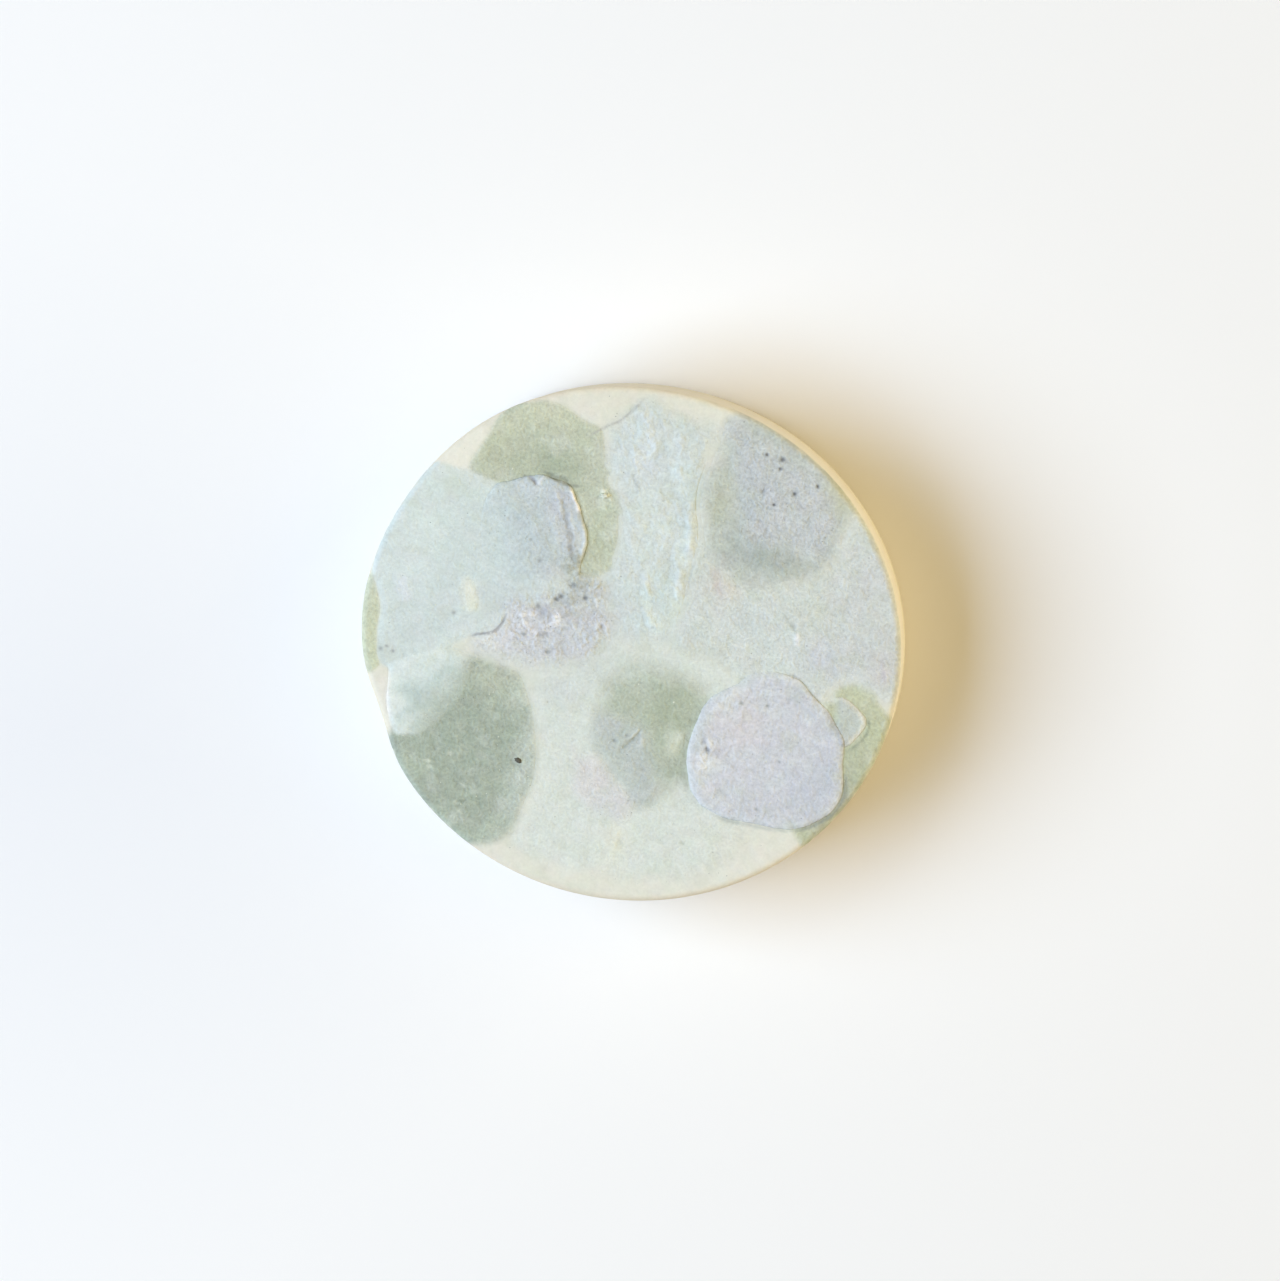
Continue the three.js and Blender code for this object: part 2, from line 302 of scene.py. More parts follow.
@dataclass
class Depth:
    """How deep inside an outline a place is, in mm, kept on a grid. It is below zero outside."""

    loop: Array
    pitch: float = 0.2
    margin: float = 4.5
    low: Array = field(init=False)
    grid: Array = field(init=False)

    def __post_init__(self) -> None:
        """Fills the grid."""
        self.low = self.loop.min(axis=0) - self.margin
        high = self.loop.max(axis=0) + self.margin
        columns, rows = (np.ceil((high - self.low) / self.pitch).astype(int) + 1).tolist()
        x = self.low[0] + self.pitch * np.arange(columns)
        y = self.low[1] + self.pitch * np.arange(rows)
        places = np.stack(np.meshgrid(x, y), axis=2).reshape(-1, 2)
        rough = self.loop[:: max(1, int(0.5 / max(self.step(), 1e-6)))]
        distance, _, _ = nearest(places, rough)
        signed = np.where(inside(places, rough), distance, -distance)
        self.grid = signed.reshape(rows, columns)

    def step(self) -> float:
        """Distance between two points of the loop."""
        return float(np.linalg.norm(self.loop[1] - self.loop[0]))

    def at(self, points: Array) -> Array:
        """The depth at each place.

        Args:
            points: places on the unrolled skin.

        Returns:
            Depths in mm, never below minus the margin.
        """
        spot = (points - self.low) / self.pitch
        rows, columns = self.grid.shape
        off = (spot < 0).any(axis=1) | (spot[:, 0] > columns - 1.001) | (spot[:, 1] > rows - 1.001)
        spot = np.clip(spot, 0.0, (columns - 1.001, rows - 1.001))
        cell = spot.astype(int)
        part = spot - cell
        x, y = cell[:, 0], cell[:, 1]
        low = self.grid[y, x] * (1 - part[:, 0]) + self.grid[y, x + 1] * part[:, 0]
        high = self.grid[y + 1, x] * (1 - part[:, 0]) + self.grid[y + 1, x + 1] * part[:, 0]
        return np.where(off, -self.margin, low * (1 - part[:, 1]) + high * part[:, 1])


# ---------------- the puck's outer surface


@dataclass
class Skin:
    """The smooth outside of the puck: face, rounded rim, wall and underside, unrolled around the face."""

    half_long: float
    half_short: float
    thickness: float
    reach: Array
    edge: float = EDGE_RADIUS
    waves: int = 26

    @classmethod
    def of_node(cls, node: bpy.types.Object) -> "Skin":
        """Reads the sizes off the solid body.

        Args:
            node: the body's own solid.

        Returns:
            Its skin.
        """
        corners = np.array([tuple(v.co) for v in node.data.vertices]) / MM
        low, high = corners.min(axis=0), corners.max(axis=0)
        ring = corners[np.abs(corners[:, 2] - low[2] - EDGE_RADIUS) < 0.02][:, :2]
        turn = np.arctan2(ring[:, 1], ring[:, 0])
        order = np.argsort(turn)
        radius = np.linalg.norm(ring, axis=1)[order]
        even = np.linspace(-math.pi, math.pi, 720, endpoint=False)
        reach = np.interp(even, turn[order], radius, period=2 * math.pi)
        waves = np.fft.rfft(reach)
        waves[cls.waves :] = 0
        size = high - low
        return cls(size[0] / 2, size[1] / 2, size[2], np.fft.irfft(waves, 720))

    def place(self, share: tuple[float, float]) -> Array:
        """A place on the face from its shares of the half diameters."""
        return np.array((share[0] * self.half_long, share[1] * self.half_short)) / 100.0

    def places(self, shares: tuple[tuple[float, float], ...]) -> Array:
        """Several places on the face."""
        return np.array([self.place(share) for share in shares])

    def radius(self, points: Array) -> Array:
        """How far out the wall is in the direction of each place.

        Args:
            points: places on the unrolled skin.

        Returns:
            One radius in mm for each place.
        """
        turn = np.arctan2(points[:, 1], points[:, 0])
        even = np.linspace(-math.pi, math.pi, len(self.reach), endpoint=False)
        return np.interp(turn, even, self.reach, period=2 * math.pi)

    def past_face(self, points: Array) -> Array:
        """How far beyond the flat face each place is along the skin, below zero on the face."""
        return np.linalg.norm(points, axis=1) - self.radius(points) + self.edge

    def wall_start(self) -> float:
        """Length of skin over the rounded rim."""
        return self.edge * math.pi / 2

    def wall_length(self) -> float:
        """Height of the straight part of the wall."""
        return self.thickness - 2 * self.edge

    def lifted(self, points: Array, lift: Array) -> Array:
        """Turns places on the unrolled skin into places in space.

        Args:
            points: places on the unrolled skin.
            lift: height above the smooth skin at each, in mm.

        Returns:
            Three numbers in mm for each place.
        """
        out = np.linalg.norm(points, axis=1)
        heading = points / np.maximum(out, 1e-9)[:, None]
        base = self.radius(points) - self.edge
        past = out - base
        first = np.clip(past / self.edge, 0.0, math.pi / 2)
        down = np.clip(past - self.wall_start(), 0.0, self.wall_length())
        second = np.clip((past - self.wall_start() - self.wall_length()) / self.edge, 0.0, math.pi / 2)
        under = np.maximum(past - 2 * self.wall_start() - self.wall_length(), 0.0)
        turned = first + second
        across = np.where(past < 0, out, base + self.edge * np.sin(turned) - under)
        height = self.thickness - self.edge + self.edge * np.cos(first) - down
        height = height - self.edge * np.sin(second)
        side = np.sin(turned)
        place = heading * (across + lift * side)[:, None]
        return np.column_stack([place, height + lift * np.cos(turned)])


# ---------------- marks on the soap


@dataclass(frozen=True)
class Stroke:
    """A fold, groove or seam drawn through places on the face; its tint is mostly a painted highlight on a
    ridge or lip, or painted shade in a groove, crack or seam.
    """

    through: tuple[tuple[float, float], ...]
    width: float
    lift: float = 0.0
    tint: Tint | None = None
    strength: float = 0.0
    break_up: float = 0.6

    def profile(self, points: Array, skin: Skin, noise: Noise) -> Array:
        """How strongly the stroke shows at each place, 0 to 1.

        Args:
            points: places on the unrolled skin.
            skin: the puck's skin.
            noise: breaks the stroke up.

        Returns:
            One share for each place.
        """
        line = evenly(skin.places(self.through), 0.35, closed=False)
        shown = np.zeros(len(points))
        room = 3.0 * self.width
        near = ((points > line.min(axis=0) - room) & (points < line.max(axis=0) + room)).all(axis=1)
        if near.any():
            distance, _, along = nearest(points[near], line, closed=False)
            ends = ramp(0.0, 0.18, along) * ramp(0.0, 0.18, 1.0 - along)
            uneven = 1.0 + self.break_up * noise.octaves(points[near], 1.3, 2)
            wander = 1.0 + 0.4 * noise.octaves(points[near] + 5.0, 1.0, 2)
            width = self.width * (0.55 + 0.45 * ends) * wander
            strength = np.exp(-((distance / width) ** 2)) * (0.25 + 0.75 * ends)
            shown[near] = np.clip(strength * uneven, 0.0, 1.0)
        return shown


@dataclass(frozen=True)
class Spot:
    """A round mark on the face: a stain, a pinhole or a lump; a dark pit's tint is stain with painted shade
    in the hollow.
    """

    at: tuple[float, float]
    reach: tuple[float, float]
    tint: Tint | None = None
    strength: float = 1.0
    lift: float = 0.0
    turn: float = 0.0
    fine: bool = False
    crumbly: bool = False

    def profile(self, points: Array, skin: Skin, noise: Noise) -> Array:
        """How strongly the mark shows at each place, 0 to 1.

        Args:
            points: places on the unrolled skin.
            skin: the puck's skin.
            noise: makes its edge uneven.

        Returns:
            One share for each place.
        """
        shown = np.zeros(len(points))
        away = points - skin.place(self.at)
        room = 2.6 * max(self.reach)
        near = (np.abs(away) < room).all(axis=1)
        if near.any():
            turn = math.radians(self.turn)
            x = away[near, 0] * math.cos(turn) + away[near, 1] * math.sin(turn)
            y = away[near, 1] * math.cos(turn) - away[near, 0] * math.sin(turn)
            size = max(min(self.reach), 0.2)
            uneven = 1.0 + 0.25 * noise.octaves(points[near] + 17.0, 1.4 * size, 2)
            squared = (x / self.reach[0]) ** 2 + (y / self.reach[1]) ** 2
            shown[near] = np.exp(-squared * uneven)
            if self.crumbly:
                shown[near] *= np.clip(0.6 + 1.1 * noise.octaves(points[near] + 33.0, 0.8, 3), 0.0, 1.6)
                shown[near] = np.minimum(shown[near], 1.0)
        return shown


def pinholes(tint: Tint, *rows: tuple[float, ...]) -> tuple[Spot, ...]:
    """Several fine spots of one tint.

    Args:
        tint: their tint.
        rows: for each its place, its two reaches, its strength and, where it has one, its lift.

    Returns:
        The spots.
    """
    return tuple(Spot(row[:2], row[2:4], tint, *row[4:], fine=True) for row in rows)


class Edge(Enum):
    """How a pour ends."""

    FLUSH = "level with what is round it"
    FEATHER = "runs out thin"
    ROLL = "stands up with a rounded edge"
    TORN = "stands up with a ragged edge"


@dataclass(frozen=True)
class Fade:
    """Where a pour runs out into what is under it: from nothing at start to whole at end."""

    start: tuple[float, float]
    end: tuple[float, float]

    def share(self, points: Array, skin: Skin) -> Array:
        """How much of the pour is left at each place.

        Args:
            points: places on the unrolled skin.
            skin: the puck's skin.

        Returns:
            One share for each place.
        """
        first, last = skin.place(self.start), skin.place(self.end)
        run = last - first
        along = ((points - first) @ run) / (run @ run)
        return ramp(0.0, 1.0, along)


@dataclass(frozen=True)
class Pour:
    """One pour of coloured soap: how it ends, how it is coloured and what marks it."""

    node: str
    slot: str
    tint: Tint
    edge: Edge = Edge.FLUSH
    rise: float = 0.03
    width: float = 0.4
    sink: float = 0.5
    bead: float = 0.0
    rag: float = 0.0
    blend: float = 0.5
    bleed: float = 0.0
    opacity: float = 1.0
    wrinkle: float = 0.03
    crumble: float = 0.0
    grain: float = 1.0
    margin_tint: Tint | None = None
    margin: float = 1.5
    spacing: float = 0.2
    fades: tuple[Fade, ...] = ()
    spots: tuple[Spot, ...] = ()
    strokes: tuple[Stroke, ...] = ()

    def left(self, points: Array, skin: Skin) -> Array:
        """How much of the pour its fades leave at each place.

        Args:
            points: places on the unrolled skin.
            skin: the puck's skin.

        Returns:
            One share for each place.
        """
        share = np.ones(len(points))
        for fade in self.fades:
            share *= fade.share(points, skin)
        return share

    def thickness(self, points: Array, depth: Array, skin: Skin, noise: Noise) -> Array:
        """How far the pour stands above what is under it.

        Args:
            points: places on the unrolled skin.
            depth: how deep inside the outline each is.
            skin: the puck's skin.
            noise: its unevenness.

        Returns:
            Heights in mm, zero outside the outline.
        """
        within = np.clip(depth / self.width, 0.0, 1.0)
        if self.edge in (Edge.ROLL, Edge.TORN):
            height = self.rise * np.sqrt(1.0 - (1.0 - within) ** 2)
            height += self.bead * np.exp(-(((depth - 1.3 * self.width) / (0.8 * self.width)) ** 2))
        else:
            height = self.rise * ramp(0.0, 1.0, within)
        if self.edge is Edge.TORN:
            ragged = 0.4 * np.exp(-np.maximum(depth, 0.0) / 1.5)
            height = height * (1.0 + ragged * noise.octaves(points, 1.5, 3))
        return np.where(depth > 0, height, 0.0) * self.left(points, skin)

    def cover(self, points: Array, depth: Array, skin: Skin, noise: Noise, own: bool) -> Array:
        """How much of what is under it the pour's colour hides.

        Args:
            points: places on the unrolled skin.
            depth: how deep inside the outline each is.
            skin: the puck's skin.
            noise: makes soft edges wander.
            own: the places are on this pour's own surface.

        Returns:
            One share for each place.
        """
        if self.bleed > 0:
            soft = self.blend + self.bleed
            wander = depth + 0.16 * soft * noise.octaves(points, 4.5, 2)
            shown = ramp(-self.bleed, self.blend, wander)
        elif own:
            shown = np.ones(len(points))
        else:
            shown = ramp(-0.02, 0.1, depth)
        return shown * self.opacity * self.left(points, skin)

    def colour(self, points: Array, depth: Array, skin: Skin, noise: Noise) -> Array:
        """The pour's own colour with its marks' tints laid on, among them painted highlights on ridges and
        lips and painted shade in grooves and pits.

        Args:
            points: places on the unrolled skin.
            depth: how deep inside the outline each is.
            skin: the puck's skin.
            noise: its unevenness.

        Returns:
            Three numbers from 0 to 1 for each place.
        """
        shown = np.tile(self.tint.shown(), (len(points), 1))
        if self.margin_tint:
            uneven = depth + 0.3 * self.margin * noise.octaves(points + 3.0, 2.5, 2)
            outer = 1.0 - ramp(0.1 * self.margin, self.margin, uneven)
            shown = blended(shown, self.margin_tint.shown(), outer)
        for mark in self.spots + self.strokes:
            if mark.tint:
                shown = blended(shown, mark.tint.shown(), mark.strength * mark.profile(points, skin, noise))
        return shown


# ---------------- what is poured, lowest first

CREAM = Tint(230, 230, 216)
WALL_CREAM = Tint(236, 228, 205)
SAGE = Tint(196, 203, 183)
DEEP_SAGE = Tint(167, 179, 164)
# White for small raised lumps and, as a painted highlight, for the lit edges of lips and ridges.
WHITE_LUMP_AND_HIGHLIGHT = Tint(240, 242, 242)
# Pale mint: the soap's own paler tone in random patches, and a painted highlight along ridges.
PALE_TONE_AND_RIDGE_HIGHLIGHT = Tint(226, 234, 232)
SHADOW = Tint(150, 156, 156)
# Dark of pinhole pits: a stain with painted shade in the hollow.
PIT_STAIN_AND_SHADE = Tint(104, 106, 108)
TEAL = Tint(198, 214, 212)

# Patches of the cream that the pours lie on: greener and darker in the middle, a little darker by the top
# and bottom rims, paler by the left rim, darker by the right rim.
CREAM_SPOTS: tuple[Spot, ...] = (
    Spot((4, -4), (25, 23), Tint(211, 219, 211), 1.0),
    Spot((10, 20), (18, 10), Tint(210, 218, 212), 0.8),
    Spot((-78, 62), (9, 12), Tint(236, 236, 222), 0.8),
    Spot((-20, 92), (9, 3), Tint(225, 225, 209), 0.8),
    Spot((20, 95), (8, 3), Tint(226, 228, 211), 0.6),
    Spot((89, 35), (3, 9), Tint(212, 211, 200), 0.8),
    Spot((-88, -46), (3, 8), Tint(234, 233, 221), 0.8),
    Spot((0, -96), (14, 3), Tint(223, 226, 212), 0.7),
)

# Thin pale and dark lines laid over every colour: mostly painted highlights on ridges and lips, and painted
# shade in creases, along lips and outside the edges of raised pours; one pink streak is the soap's own
# colour.
PAINTED_LIGHT_AND_TINT_LINES: tuple[Stroke, ...] = (
    Stroke(((-0.8, 27), (0.8, 21.5), (3, 15.5), (6, 11), (12.5, 6.5)), 0.8, 0.0, Tint(221, 234, 228), 0.6,
           1.0),
    Stroke(((13, 29), (12.4, 22), (13, 13), (12.6, 7)), 0.7, 0.0, Tint(221, 234, 228), 0.6, 1.0),
    Stroke(((-3, 26.5), (-1.6, 20), (1, 13.5), (4, 8.5)), 0.5, 0.0, Tint(199, 209, 204), 0.45, 1.0),
    Stroke(((-12.5, 83), (-10, 79), (-11.5, 73), (-13.5, 68)), 0.8, 0.0, Tint(222, 231, 230), 0.6, 1.0),
    Stroke(((-4, 77), (0.5, 72), (4, 66), (7, 58)), 0.8, 0.0, Tint(221, 232, 229), 0.5, 1.0),
    Stroke(((-8.5, 82), (-6.5, 76), (-8, 70)), 0.6, 0.0, Tint(200, 209, 207), 0.5),
    Stroke(((9.5, 74), (10.2, 64), (12, 54)), 0.7, 0.0, Tint(196, 210, 207), 0.5),
    Stroke(((22, 37), (25, 32), (28, 27)), 0.5, 0.0, Tint(207, 199, 194), 0.4),
    Stroke(((51, 27), (54, 24.5), (57, 21.8), (58.4, 19)), 0.2, 0.0, Tint(186, 196, 192), 0.6),
    Stroke(((-47, -0.5), (-47.4, -3), (-48.3, -5.5), (-49.3, -7.5), (-50.8, -9), (-52.8, -10),
            (-54.5, -10.6),
            (-56, -11.3), (-58.5, -13)), 0.17, 0.0, Tint(150, 152, 156), 0.7, 0.25),
    Stroke(((-34.8, 73.7), (-28.6, 79.9), (-24.2, 83.5), (-20, 89.5), (-17, 95.2)), 0.17, 0.0,
           Tint(172, 173, 168), 0.6, 0.2),
    Stroke(((-45, 55.9), (-41, 54.9), (-38.5, 54.3), (-35.5, 54.4), (-32, 55)), 0.22, 0.0,
           Tint(146, 153, 142), 0.8, 0.2),
    Stroke(((58, 4.6), (62, 3.9), (66, 2), (70, -1.5), (74, -4.2)), 0.16, 0, Tint(176, 183, 180), 0.6, 0.2),
    Stroke(((88.4, -26), (89.6, -32), (90, -37), (89, -41.5), (87, -45.5), (83.5, -49.2), (79, -52.8),
            (74, -55)), 0.3, 0, Tint(146, 152, 142), 0.75, 0.3),
    Stroke(((75, -55), (66, -56.3), (58, -56.8), (50, -57.2), (44, -56)), 0.26, 0, Tint(176, 184, 178), 0.6,
           0.3),
    Stroke(((87, -2.8), (89.8, -6), (90, -9.5), (88.2, -14), (86, -17.3)), 0.32, 0, Tint(228, 232, 222),
           0.8, 0.2),
    Stroke(((91, -4), (92.6, -7.5), (92.2, -11.5), (90.2, -15.5), (87, -19.5)), 0.22, 0.0,
           Tint(146, 154, 134), 0.65, 0.3),
    Stroke(((78.5, -8.5), (81, -12), (83.5, -15), (85.5, -19)), 0.6, 0, Tint(183, 189, 191), 0.7, 0.3),
)

POURS: tuple[Pour, ...] = (
    Pour(
        "sage_drop_northeast", "sage_soap", Tint(195, 202, 194), sink=3.2, blend=2.0, bleed=1.6,
        wrinkle=0.05,
        spots=(
            Spot((19, 62), (1.5, 4.5), Tint(189, 196, 178), 0.9),
            Spot((37, 47), (5.5, 2.4), Tint(177, 186, 180), 1.0),
            Spot((62, 78), (3.5, 2.5), Tint(200, 201, 174), 0.9, turn=-45),
            Spot((52, 45), (2.5, 1.5), Tint(186, 193, 184), 0.6),
            Spot((34, 50), (4, 2), Tint(168, 178, 170), 0.6, 0.05, turn=-25, crumbly=True),
            Spot((46, 45), (3.4, 1.6), Tint(172, 181, 174), 0.6, 0.05, crumbly=True),
        ),
    ),
    Pour(
        "sage_drop_southeast", "sage_soap", Tint(196, 202, 173), sink=3.2, blend=0.9, bleed=0.5,
        wrinkle=0.02,
        spots=(
            Spot((91, -35), (1.5, 4.5), Tint(176, 181, 159), 0.9),
            Spot((91, -22), (1.5, 3), Tint(184, 192, 167), 0.8),
            Spot((85, -50), (2.5, 2), Tint(190, 193, 171), 0.8),
        ),
    ),
    Pour(
        "sage_drop_southwest", "deep_sage_soap", Tint(167, 179, 164), sink=3.2, blend=1.1, bleed=0.9,
        grain=1.1, wrinkle=0.02,
        spots=(
            Spot((-45, -27), (4.5, 2.5), Tint(186, 194, 176), 0.9),
            Spot((-34, -30), (2.5, 2.5), Tint(197, 208, 194), 0.8),
            Spot((-27, -50), (1.5, 7), Tint(194, 204, 194), 0.9),
            Spot((-28, -68), (1.8, 6), Tint(190, 201, 190), 0.9),
            Spot((-68, -66), (2.2, 3.5), Tint(186, 197, 178), 0.8, turn=-55),
            Spot((-48, -88), (5, 1.6), Tint(187, 199, 180), 0.8, turn=-30),
            Spot((-33, -85), (2, 2), Tint(186, 198, 184), 0.8),
            Spot((-60, -60), (4, 2.5), Tint(163, 177, 162), 0.7),
            *pinholes(
                Tint(214, 222, 206), (-62, -64, 0.5, 0.3, 0.7), (-61, -66, 0.4, 0.3, 0.6),
            ),
            *pinholes(
                Tint(205, 214, 200), (-54.5, -59, 0.4, 0.3, 0.6), (-48, -77, 0.4, 0.3, 0.6),
                (-46, -80, 0.4, 0.3, 0.6),
            ),
            Spot((-46, -76), (0.35, 0.25), Tint(140, 152, 138), 0.7, fine=True),
        ),
        # Painted highlight on a small ridge and painted shade in two creases.
        strokes=(
            Stroke(((-48.5, -69.3), (-47, -69.9), (-45.8, -70.3)), 0.2, 0.03, Tint(214, 222, 210), 0.7),
            Stroke(((-29, -56.5), (-27.5, -58.5), (-26.2, -60)), 0.12, 0, SHADOW, 0.5),
            Stroke(((-31, -54), (-32.5, -52.2)), 0.12, 0, SHADOW, 0.4),
        ),
    ),
    Pour(
        "sage_drop_west", "sage_soap", Tint(203, 210, 183), sink=3.2, blend=0.5, bleed=0.5, wrinkle=0.02,
        spots=(Spot((-96, 0), (1.5, 3), Tint(212, 221, 205), 0.6),),
    ),
    Pour(
        "sage_drop_northwest", "sage_soap", Tint(196, 203, 182), sink=3.2, blend=0.6, bleed=0.5, grain=1.05,
        wrinkle=0.02,
        spots=(
            Spot((-52, 80), (6, 2), Tint(205, 210, 186), 0.9),
            Spot((-66, 66), (2.5, 4), Tint(201, 207, 182), 0.9, turn=-30),
            Spot((-45, 60), (6, 3), Tint(174, 185, 164), 0.95),
            Spot((-62, 56), (4, 2.5), Tint(186, 193, 170), 0.7),
            Spot((-26, 66), (2.2, 4.5), Tint(197, 204, 188), 0.8),
            Spot((-18, 42), (2, 5), Tint(196, 205, 186), 0.8),
            Spot((-22, 34), (1.6, 3.2), Tint(188, 195, 170), 0.7),
            *pinholes(
                Tint(228, 232, 216), (-23.4, 55.4, 0.42, 0.3, 0.9, 0.14),
                (-21.2, 54.2, 0.32, 0.26, 0.9, 0.12),
            ),
            *pinholes(
                Tint(224, 229, 212), (-23, 53.6, 0.3, 0.24, 0.8, 0.1), (-20.2, 52.8, 0.2, 0.2, 0.7, 0.08),
            ),
        ),
        # Painted shade beside the flap's raised top edge.
        strokes=(
            Stroke(((-48, 57.6), (-45, 56.6), (-40, 56.2), (-36, 55.6)), 0.28, -0.05, Tint(140, 148, 134),
                   0.75),
        ),
    ),
    Pour(
        "mint_sheet_south", "mint_soap", Tint(217, 225, 217), Edge.FEATHER, rise=0.06, width=1.4, sink=1.1,
        blend=2.0, bleed=1.4, grain=0.7, wrinkle=0.035, margin_tint=Tint(218, 225, 216), margin=2.5,
        spots=(
            Spot((13, -76), (2, 5), Tint(226, 230, 216), 0.8),
            Spot((0, -12), (3.5, 2.5), Tint(204, 213, 205), 0.8),
            Spot((-12, -12), (3, 3), Tint(207, 214, 210), 0.6),
            Spot((58, -66), (5, 3), Tint(224, 226, 214), 0.8),
            Spot((-20, -30), (3, 4), Tint(213, 222, 213), 0.7),
            Spot((8, -10), (3, 2), Tint(203, 212, 202), 0.7),
            Spot((-22, -24), (4, 2), Tint(207, 213, 212), 0.6),
            Spot((36.5, -70.3), (0.45, 0.2), Tint(190, 200, 188), 0.6, fine=True),
        ),
        # Painted highlight on a ridge and painted shade in the groove beside it.
        strokes=(
            Stroke(((13, -72), (12.5, -76), (13.2, -82)), 0.5, 0.05, Tint(228, 230, 212), 0.6),
            Stroke(((11.2, -73), (10.8, -78), (10, -84)), 0.35, -0.03, Tint(205, 211, 198), 0.35),
        ),
    ),
    Pour(
        "mint_sheet_east", "mint_soap", Tint(211, 218, 212), Edge.FEATHER, rise=0.08, width=1.5, sink=1.1,
        blend=1.6, bleed=1.2, grain=1.1, wrinkle=0.07, crumble=0.015,
        margin_tint=Tint(212, 219, 211), margin=2.5,
        spots=(
            Spot((70, 14), (3.2, 2.6), Tint(203, 208, 215), 0.85),
            Spot((50, 15), (4.5, 3.5), Tint(214, 223, 219), 0.8),
            Spot((20, 12), (2.5, 3.5), Tint(210, 219, 214), 0.7),
            Spot((25, 32), (2.2, 2.6), Tint(209, 211, 203), 0.8),
            Spot((92, 16), (2, 3.5), Tint(208, 207, 205), 0.8),
            Spot((90, 27), (2, 3), Tint(205, 209, 204), 0.8),
            Spot((62, 28), (3, 3), Tint(207, 216, 206), 0.7),
            Spot((80, 20), (4, 5), Tint(206, 212, 211), 0.7),
            Spot((78, 45), (3.5, 5), Tint(207, 211, 210), 0.7, turn=-30),
            Spot((40, 22), (4, 3), Tint(206, 215, 212), 0.7),
            Spot((57, 6), (4, 2), Tint(211, 220, 215), 0.6),
            Spot((22, -1), (4, 1.8), SAGE, 0.5),
        ),
        # Painted highlight on a lip, painted shade in a crease beside it, painted highlights on ridges, and
        # a greyish streak.
        strokes=(
            Stroke(((58.1, 21), (59.2, 18.2), (60.2, 15.3)), 0.38, 0.12, WHITE_LUMP_AND_HIGHLIGHT, 1.0, 0.2),
            Stroke(((55.5, 23.5), (56.5, 22.5), (57.5, 21.3)), 0.2, -0.06, SHADOW, 0.3),
            Stroke(((69.6, 45.3), (70.6, 43.5), (72, 42)), 0.35, 0.1, PALE_TONE_AND_RIDGE_HIGHLIGHT, 0.6),
            Stroke(((90.5, 20), (92, 16), (94.5, 10)), 0.3, 0.03, Tint(196, 192, 200), 0.4),
            Stroke(((38, 28), (46, 25), (54, 24)), 0.5, 0.07, PALE_TONE_AND_RIDGE_HIGHLIGHT, 0.3),
            Stroke(((28, 14), (36, 11), (45, 9)), 0.6, 0.06, PALE_TONE_AND_RIDGE_HIGHLIGHT, 0.25),
            Stroke(((74, 30), (77, 24), (78, 18)), 0.5, 0.06, PALE_TONE_AND_RIDGE_HIGHLIGHT, 0.25),
            Stroke(((82, 12), (83, 9), (85, 7)), 0.3, 0.05, PALE_TONE_AND_RIDGE_HIGHLIGHT, 0.4),
        ),
    ),
    Pour(
        "mint_sheet_north", "mint_soap", Tint(212, 222, 218), Edge.FEATHER, rise=0.16, width=2.4, sink=1.1,
        blend=1.8, bleed=1.1, grain=0.95, wrinkle=0.12, crumble=0.02,
        margin_tint=Tint(209, 218, 212), margin=2.5,
        spots=(
            Spot((8, 63), (2, 4.5), TEAL, 0.8),
            Spot((12, 52), (1.6, 2.6), TEAL, 0.8),
            Spot((12, 42), (1.6, 3), Tint(219, 232, 228), 0.9),
            Spot((-2, 85), (4.5, 2.5), Tint(208, 217, 211), 0.6),
            Spot((-5, 50), (3, 5), Tint(216, 225, 217), 0.8),
            Spot((8, 25), (2.5, 4), Tint(206, 219, 213), 0.7),
            Spot((-10, 72), (2.2, 3), Tint(212, 219, 224), 0.6),
            Spot((4, 12), (2.2, 3), Tint(209, 222, 216), 0.6),
            Spot((-6, 12), (2, 3), Tint(208, 215, 212), 0.6),
        ),
        # Painted shade in grooves and folds and painted highlights on ridges.
        strokes=(
            Stroke(((14.8, 45), (15, 41), (15.2, 36), (15.3, 31), (15.2, 26), (15.1, 21)), 0.17, -0.08,
                   Tint(158, 166, 162), 0.75, 0.2),
            Stroke(((11.5, 44.5), (12, 43), (12.5, 41)), 0.54, 0.18, PALE_TONE_AND_RIDGE_HIGHLIGHT, 0.7),
            Stroke(((11, 33), (11.3, 30.5), (12, 27), (13, 24), (13.5, 21)), 0.61, 0.18, PALE_TONE_AND_RIDGE_HIGHLIGHT, 0.6),
            Stroke(((-1.2, 28.5), (0, 25), (1.2, 22), (2.2, 19.5)), 0.61, 0.2, PALE_TONE_AND_RIDGE_HIGHLIGHT, 0.6),
            Stroke(((2, 15), (4, 12.5), (6, 10.8), (8, 9)), 0.68, 0.18, PALE_TONE_AND_RIDGE_HIGHLIGHT, 0.6),
            Stroke(((14.5, 17), (15.2, 16.3), (15.8, 15.5)), 0.34, 0.17, PALE_TONE_AND_RIDGE_HIGHLIGHT, 0.5),
            Stroke(((0.5, 71.5), (2.5, 69.3), (4, 66.8)), 0.61, 0.2, PALE_TONE_AND_RIDGE_HIGHLIGHT, 0.7),
            Stroke(((8.4, 78), (9.6, 69), (10, 60), (11.5, 50), (13, 40), (13.6, 32)), 0.9, 0.08,
                   PALE_TONE_AND_RIDGE_HIGHLIGHT, 0.35),
            Stroke(((-12.6, 89), (-14.2, 82), (-14.6, 75), (-13.8, 66)), 0.8, 0.14, PALE_TONE_AND_RIDGE_HIGHLIGHT, 0.3),
            Stroke(((-13, 82), (-10.5, 80.5), (-9.5, 77), (-10.5, 73.5)), 0.68, 0.16, PALE_TONE_AND_RIDGE_HIGHLIGHT, 0.5),
